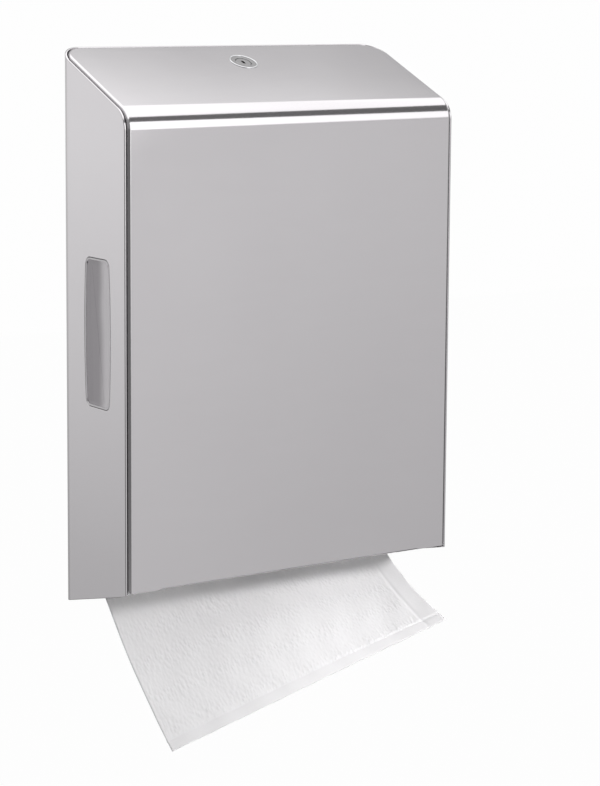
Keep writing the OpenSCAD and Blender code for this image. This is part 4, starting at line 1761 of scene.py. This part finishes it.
PANELS = (
    Panel("panel_front", (4.0, 62.0), (-1.0, 2.2), (
        Glow(UP, ((-1.0, 0.74), (-0.5, 0.80), (0.02, 0.95), (2.2, 0.95))),
        Glow(ACROSS, ((0.5, 1.05), (0.7, 1.03), (1.0, 0.92), (1.2, 0.88))),
        Glow((-0.72, 0.0, 1.0), ((-3.0, 1.0), (-0.60, 1.0), (-0.52, 0.95), (-0.45, 0.86), (-0.42, 0.86),
                                 (-0.36, 2.1), (3.0, 2.1))),
        Glow(UP, ((-1.0, 1.0), (0.96, 1.0), (1.02, 0.115), (2.2, 0.115))),
    )),
    Panel("panel_dark", (-115.0, 4.0), (-1.0, 2.2), (
        Glow(UP, ((-1.0, 0.9), (-0.60, 0.42), (-0.5, 0.22), (0.12, 0.22), (0.3, 0.4), (2.2, 0.5))),
    )),
    Panel("panel_right", (62.0, 150.0), (-1.0, 1.25), (
        Glow(UP, ((-1.0, 0.8), (-0.75, 0.4), (-0.6, 0.15), (0.1, 0.2), (0.4, 0.5), (1.25, 0.8))),
    )),
    Panel("panel_back", (150.0, 245.0), (-1.0, 1.25), (
        Glow(UP, ((-1.0, 0.6), (-0.55, 0.70), (0.02, 1.1), (0.32, 1.15), (0.42, 0.7), (1.25, 0.55))),
        Glow(ACROSS, ((-1.6, 1.0), (-0.75, 1.0), (-0.4, 0.72), (0.9, 0.6))),
    )),
)

OVERHEAD_GLOWS = (
    Glow((1.0, 5.0, 0.0), ((-12.0, 1.9), (3.9, 1.9), (4.75, 1.555), (5.1, 1.253), (5.3, 1.14), (5.42, 0.82),
                           (5.8, 0.76), (12.0, 0.75))),
    Glow(ACROSS, ((-1.6, 0.55), (-1.0, 0.6), (-0.5, 1.0), (0.6, 1.0), (0.85, 0.89), (1.05, 0.97),
                  (1.25, 0.83), (2.4, 0.80))),
    Glow((-1.1, 1.0, 0.0), ((-4.5, 0.12), (-1.68, 0.12), (-1.60, 1.0), (4.0, 1.0))),
)

LOW_GLOWS = (
    Glow((1.0, 0.6, 0.0), ((-2.5, 0.95), (-0.3, 0.7), (0.1, 0.45), (0.22, 0.12), (2.5, 0.12))),
)


@dataclass
class Studio:
    """A pale floor, a white surround, panels that the steel mirrors and a lamp for the paper, in metres.

    Attributes:
        radius: Distance of the standing panels from the cabinet.
        panel_steps: Faces round each standing panel.
        floor_z: Height of the floor.
        floor_half: Half the floor's width.
        floor_grey: Tone of the floor as a surface.
        floor_rough: Roughness of the floor.
        floor_white: How far the floor shows as plain white to the camera and to mirrors.
        low_gap: Height of the low panel above the floor.
        low_inset: How far the low panel ends short of the standing panels.
        low_steps: Edges round the low panel.
        ceiling_z: Height of the overhead panel.
        ceiling_x: Where the overhead panel starts and ends, across.
        ceiling_y: Where the overhead panel starts and ends, from front to back.
        lamp_at: Place of the lamp.
        lamp_to: Where the lamp looks.
        lamp_size: Width of the lamp.
        lamp_spread: How wide its light fans out, in degrees.
        lamp_power: Its power.
        white: Brightness of the surround to the camera.
        light: Brightness of the surround as a light.
    """

    radius: float = 1.6
    panel_steps: int = 24
    floor_z: float = -1.0
    floor_half: float = 6.0
    floor_grey: float = 0.85
    floor_rough: float = 0.9
    floor_white: float = 0.97
    low_gap: float = 0.05
    low_inset: float = 0.02
    low_steps: int = 48
    ceiling_z: float = 1.3
    ceiling_x: tuple[float, float] = (-1.6, 2.4)
    ceiling_y: tuple[float, float] = (-1.2, 1.8)
    lamp_at: Point = (0.5, -0.6, 0.1)
    lamp_to: Point = (0.02, -0.1, -0.23)
    lamp_size: float = 0.12
    lamp_spread: float = 60.0
    lamp_power: float = 0.45
    white: float = 0.99
    light: float = 0.56

    def build(self) -> None:
        """Sets the stage up."""
        self.surround()
        self.floor()
        for panel in PANELS:
            self.standing_panel(panel)
        self.overhead_panel()
        self.low_panel()
        self.lamp()

    def surround(self) -> None:
        """Makes the world white to the camera and to mirrors, and dimmer as a light."""
        world = bpy.data.worlds.new("white_surround")
        world.use_nodes = True
        nodes = Nodes(world.node_tree)
        ground = world.node_tree.nodes["Background"].inputs
        nodes.feed(ground["Strength"], nodes.spread(nodes.seen(), self.light, self.white))
        ground["Color"].default_value = (1.0, 1.0, 1.0, 1.0)
        bpy.context.scene.world = world

    def floor(self) -> None:
        """Lays the pale floor."""
        bm = bmesh.new()
        bmesh.ops.create_grid(bm, x_segments=2, y_segments=2, size=self.floor_half)
        bmesh.ops.translate(bm, verts=bm.verts, vec=(0.0, 0.0, self.floor_z))
        material = bpy.data.materials.new("pale_floor")
        material.use_nodes = True
        nodes = Nodes(material.node_tree)
        shader = material.node_tree.nodes["Principled BSDF"]
        shader.inputs["Base Color"].default_value = (self.floor_grey, self.floor_grey, self.floor_grey, 1.0)
        shader.inputs["Roughness"].default_value = self.floor_rough
        glow = nodes.add("ShaderNodeEmission", {"Strength": 1.0})
        mix = nodes.add("ShaderNodeMixShader", {0: nodes.math("MULTIPLY", nodes.seen(), self.floor_white)})
        nodes.feed(mix.inputs[1], shader.outputs[0])
        nodes.feed(mix.inputs[2], glow.outputs[0])
        nodes.feed(material.node_tree.nodes["Material Output"].inputs["Surface"], mix.outputs[0])
        self.stand("pale_floor", bm, material, shown=True)

    def standing_panel(self, panel: Panel) -> None:
        """Stands a curved light panel round the cabinet.

        Args:
            panel: Which panel.
        """
        bm = bmesh.new()
        first, last = (math.radians(turn) for turn in panel.turn)
        foot = (self.radius * math.sin(first), -self.radius * math.cos(first))
        edge = bm.edges.new([bm.verts.new((*foot, z)) for z in panel.height])
        bmesh.ops.spin(bm, geom=[edge], cent=(0.0, 0.0, 0.0), axis=UP, angle=last - first,
                       steps=self.panel_steps)
        self.stand(panel.name, bm, self.glowing(panel.name, panel.glows), shown=False)

    def overhead_panel(self) -> None:
        """Hangs the soft panel overhead."""
        bm = bmesh.new()
        bmesh.ops.create_grid(bm, x_segments=2, y_segments=2, size=0.5)
        spans = (self.ceiling_x, self.ceiling_y)
        bmesh.ops.scale(bm, vec=(*(b - a for a, b in spans), 1.0), verts=bm.verts)
        bmesh.ops.translate(bm, vec=(*((a + b) / 2 for a, b in spans), self.ceiling_z), verts=bm.verts)
        bmesh.ops.reverse_faces(bm, faces=bm.faces)
        self.stand("panel_overhead", bm, self.glowing("panel_overhead", OVERHEAD_GLOWS), shown=False)

    def low_panel(self) -> None:
        """Lays a dim panel just above the floor, for the edges that look down."""
        bm = bmesh.new()
        place = Matrix.Translation((0.0, 0.0, self.floor_z + self.low_gap))
        bmesh.ops.create_circle(bm, cap_ends=True, segments=self.low_steps,
                                radius=self.radius - self.low_inset, matrix=place)
        self.stand("panel_low", bm, self.glowing("panel_low", LOW_GLOWS), shown=False)

    def lamp(self) -> None:
        """Hangs the soft lamp that lights the paper; the steel doesn't mirror it."""
        data = bpy.data.lights.new("paper_lamp", "AREA")
        data.size = self.lamp_size
        data.energy = self.lamp_power
        data.spread = math.radians(self.lamp_spread)
        lamp = bpy.data.objects.new("paper_lamp", data)
        look = Vector(self.lamp_to) - Vector(self.lamp_at)
        turn = look.to_track_quat("-Z", "Y").to_matrix().to_4x4()
        lamp.matrix_world = Matrix.Translation(self.lamp_at) @ turn
        lamp.visible_glossy = False
        lamp.visible_camera = False
        bpy.context.scene.collection.objects.link(lamp)

    def glowing(self, name: str, glows: Sequence[Glow]) -> bpy.types.Material:
        """Makes a glowing panel material.

        Args:
            name: The material's name.
            glows: How its brightness changes; several are multiplied.

        Returns:
            The material.
        """
        material = bpy.data.materials.new(name)
        material.use_nodes = True
        material.node_tree.nodes.clear()
        nodes = Nodes(material.node_tree)
        place = nodes.add("ShaderNodeTexCoord").outputs["Object"]
        level, peak = None, 1.0
        for glow in glows:
            low, high = glow.stops[0][0], glow.stops[-1][0]
            top = max(grey for _, grey in glow.stops)
            run = nodes.add("ShaderNodeVectorMath", {0: place, 1: glow.along}, operation="DOT_PRODUCT")
            share = nodes.add("ShaderNodeMapRange", {0: run.outputs["Value"], 1: low, 2: high}).outputs[0]
            tone = nodes.ramp(share, [((at - low) / (high - low), grey / top) for at, grey in glow.stops])
            level = tone if level is None else nodes.math("MULTIPLY", level, tone)
            peak *= top
        shine = nodes.add("ShaderNodeEmission", {"Strength": nodes.math("MULTIPLY", level, peak)})
        nodes.feed(nodes.add("ShaderNodeOutputMaterial").inputs["Surface"], shine.outputs[0])
        return material

    def stand(self, name: str, bm: bmesh.types.BMesh, material: bpy.types.Material, shown: bool) -> None:
        """Makes a piece of the stage.

        Args:
            name: Its name.
            bm: Its mesh, in metres.
            material: Its material.
            shown: Whether the camera sees it; if not, only mirrors do.
        """
        mesh = bpy.data.meshes.new(name)
        bm.to_mesh(mesh)
        bm.free()
        mesh.materials.append(material)
        piece = bpy.data.objects.new(name, mesh)
        bpy.context.scene.collection.objects.link(piece)
        piece.visible_camera = shown
        piece.visible_diffuse = shown


@dataclass
class PhotoCamera:
    """The camera at the photograph's place.

    Attributes:
        place: Its place in metres.
        yaw_deg: How far it looks to the right of straight back.
        pitch_deg: How far it looks down.
        roll_deg: How far it leans.
        focal_px: Its focal length in pixels of the image's height.
        image_h: The image's height in pixels.
        sensor_h: Height of the camera's sensor in millimetres.
        shift_y: How far the frame is shifted down.
    """

    place: Point = (-0.90706, -1.42590, 0.23562)
    yaw_deg: float = 34.326
    pitch_deg: float = 7.901
    roll_deg: float = 0.415
    focal_px: float = 2402.5
    image_h: float = 786.0
    sensor_h: float = 36.0
    shift_y: float = -0.1

    def build(self) -> None:
        """Sets the camera up."""
        data = bpy.data.cameras.new("photo_camera")
        data.sensor_fit = "VERTICAL"
        data.sensor_height = self.sensor_h
        data.lens = self.focal_px / self.image_h * self.sensor_h
        data.shift_y = self.shift_y
        camera = bpy.data.objects.new("photo_camera", data)
        turn = (Matrix.Rotation(math.radians(-self.yaw_deg), 4, "Z")
                @ Matrix.Rotation(math.radians(90 - self.pitch_deg), 4, "X")
                @ Matrix.Rotation(math.radians(self.roll_deg), 4, "Z"))
        camera.matrix_world = Matrix.Translation(self.place) @ turn
        bpy.context.scene.collection.objects.link(camera)
        bpy.context.scene.camera = camera


def main() -> None:
    """Loads the frame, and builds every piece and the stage."""
    logging.basicConfig(level=logging.INFO, format="%(name)s: %(message)s")
    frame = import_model()
    CadDress(frame).build()
    builders: list[Callable[[], object]] = [
        CabinetShell().build,
        DoorSkin().build,
        SideWindow(Side.LEFT).build,
        SideWindow(Side.RIGHT).build,
        CamLock().build,
        PaperPack().build,
        HangingTowel().build,
        Studio().build,
        PhotoCamera().build,
    ]
    for build in builders:
        build()
    bpy.context.scene.view_settings.view_transform = "Standard"


if __name__ == "__main__":
    main()
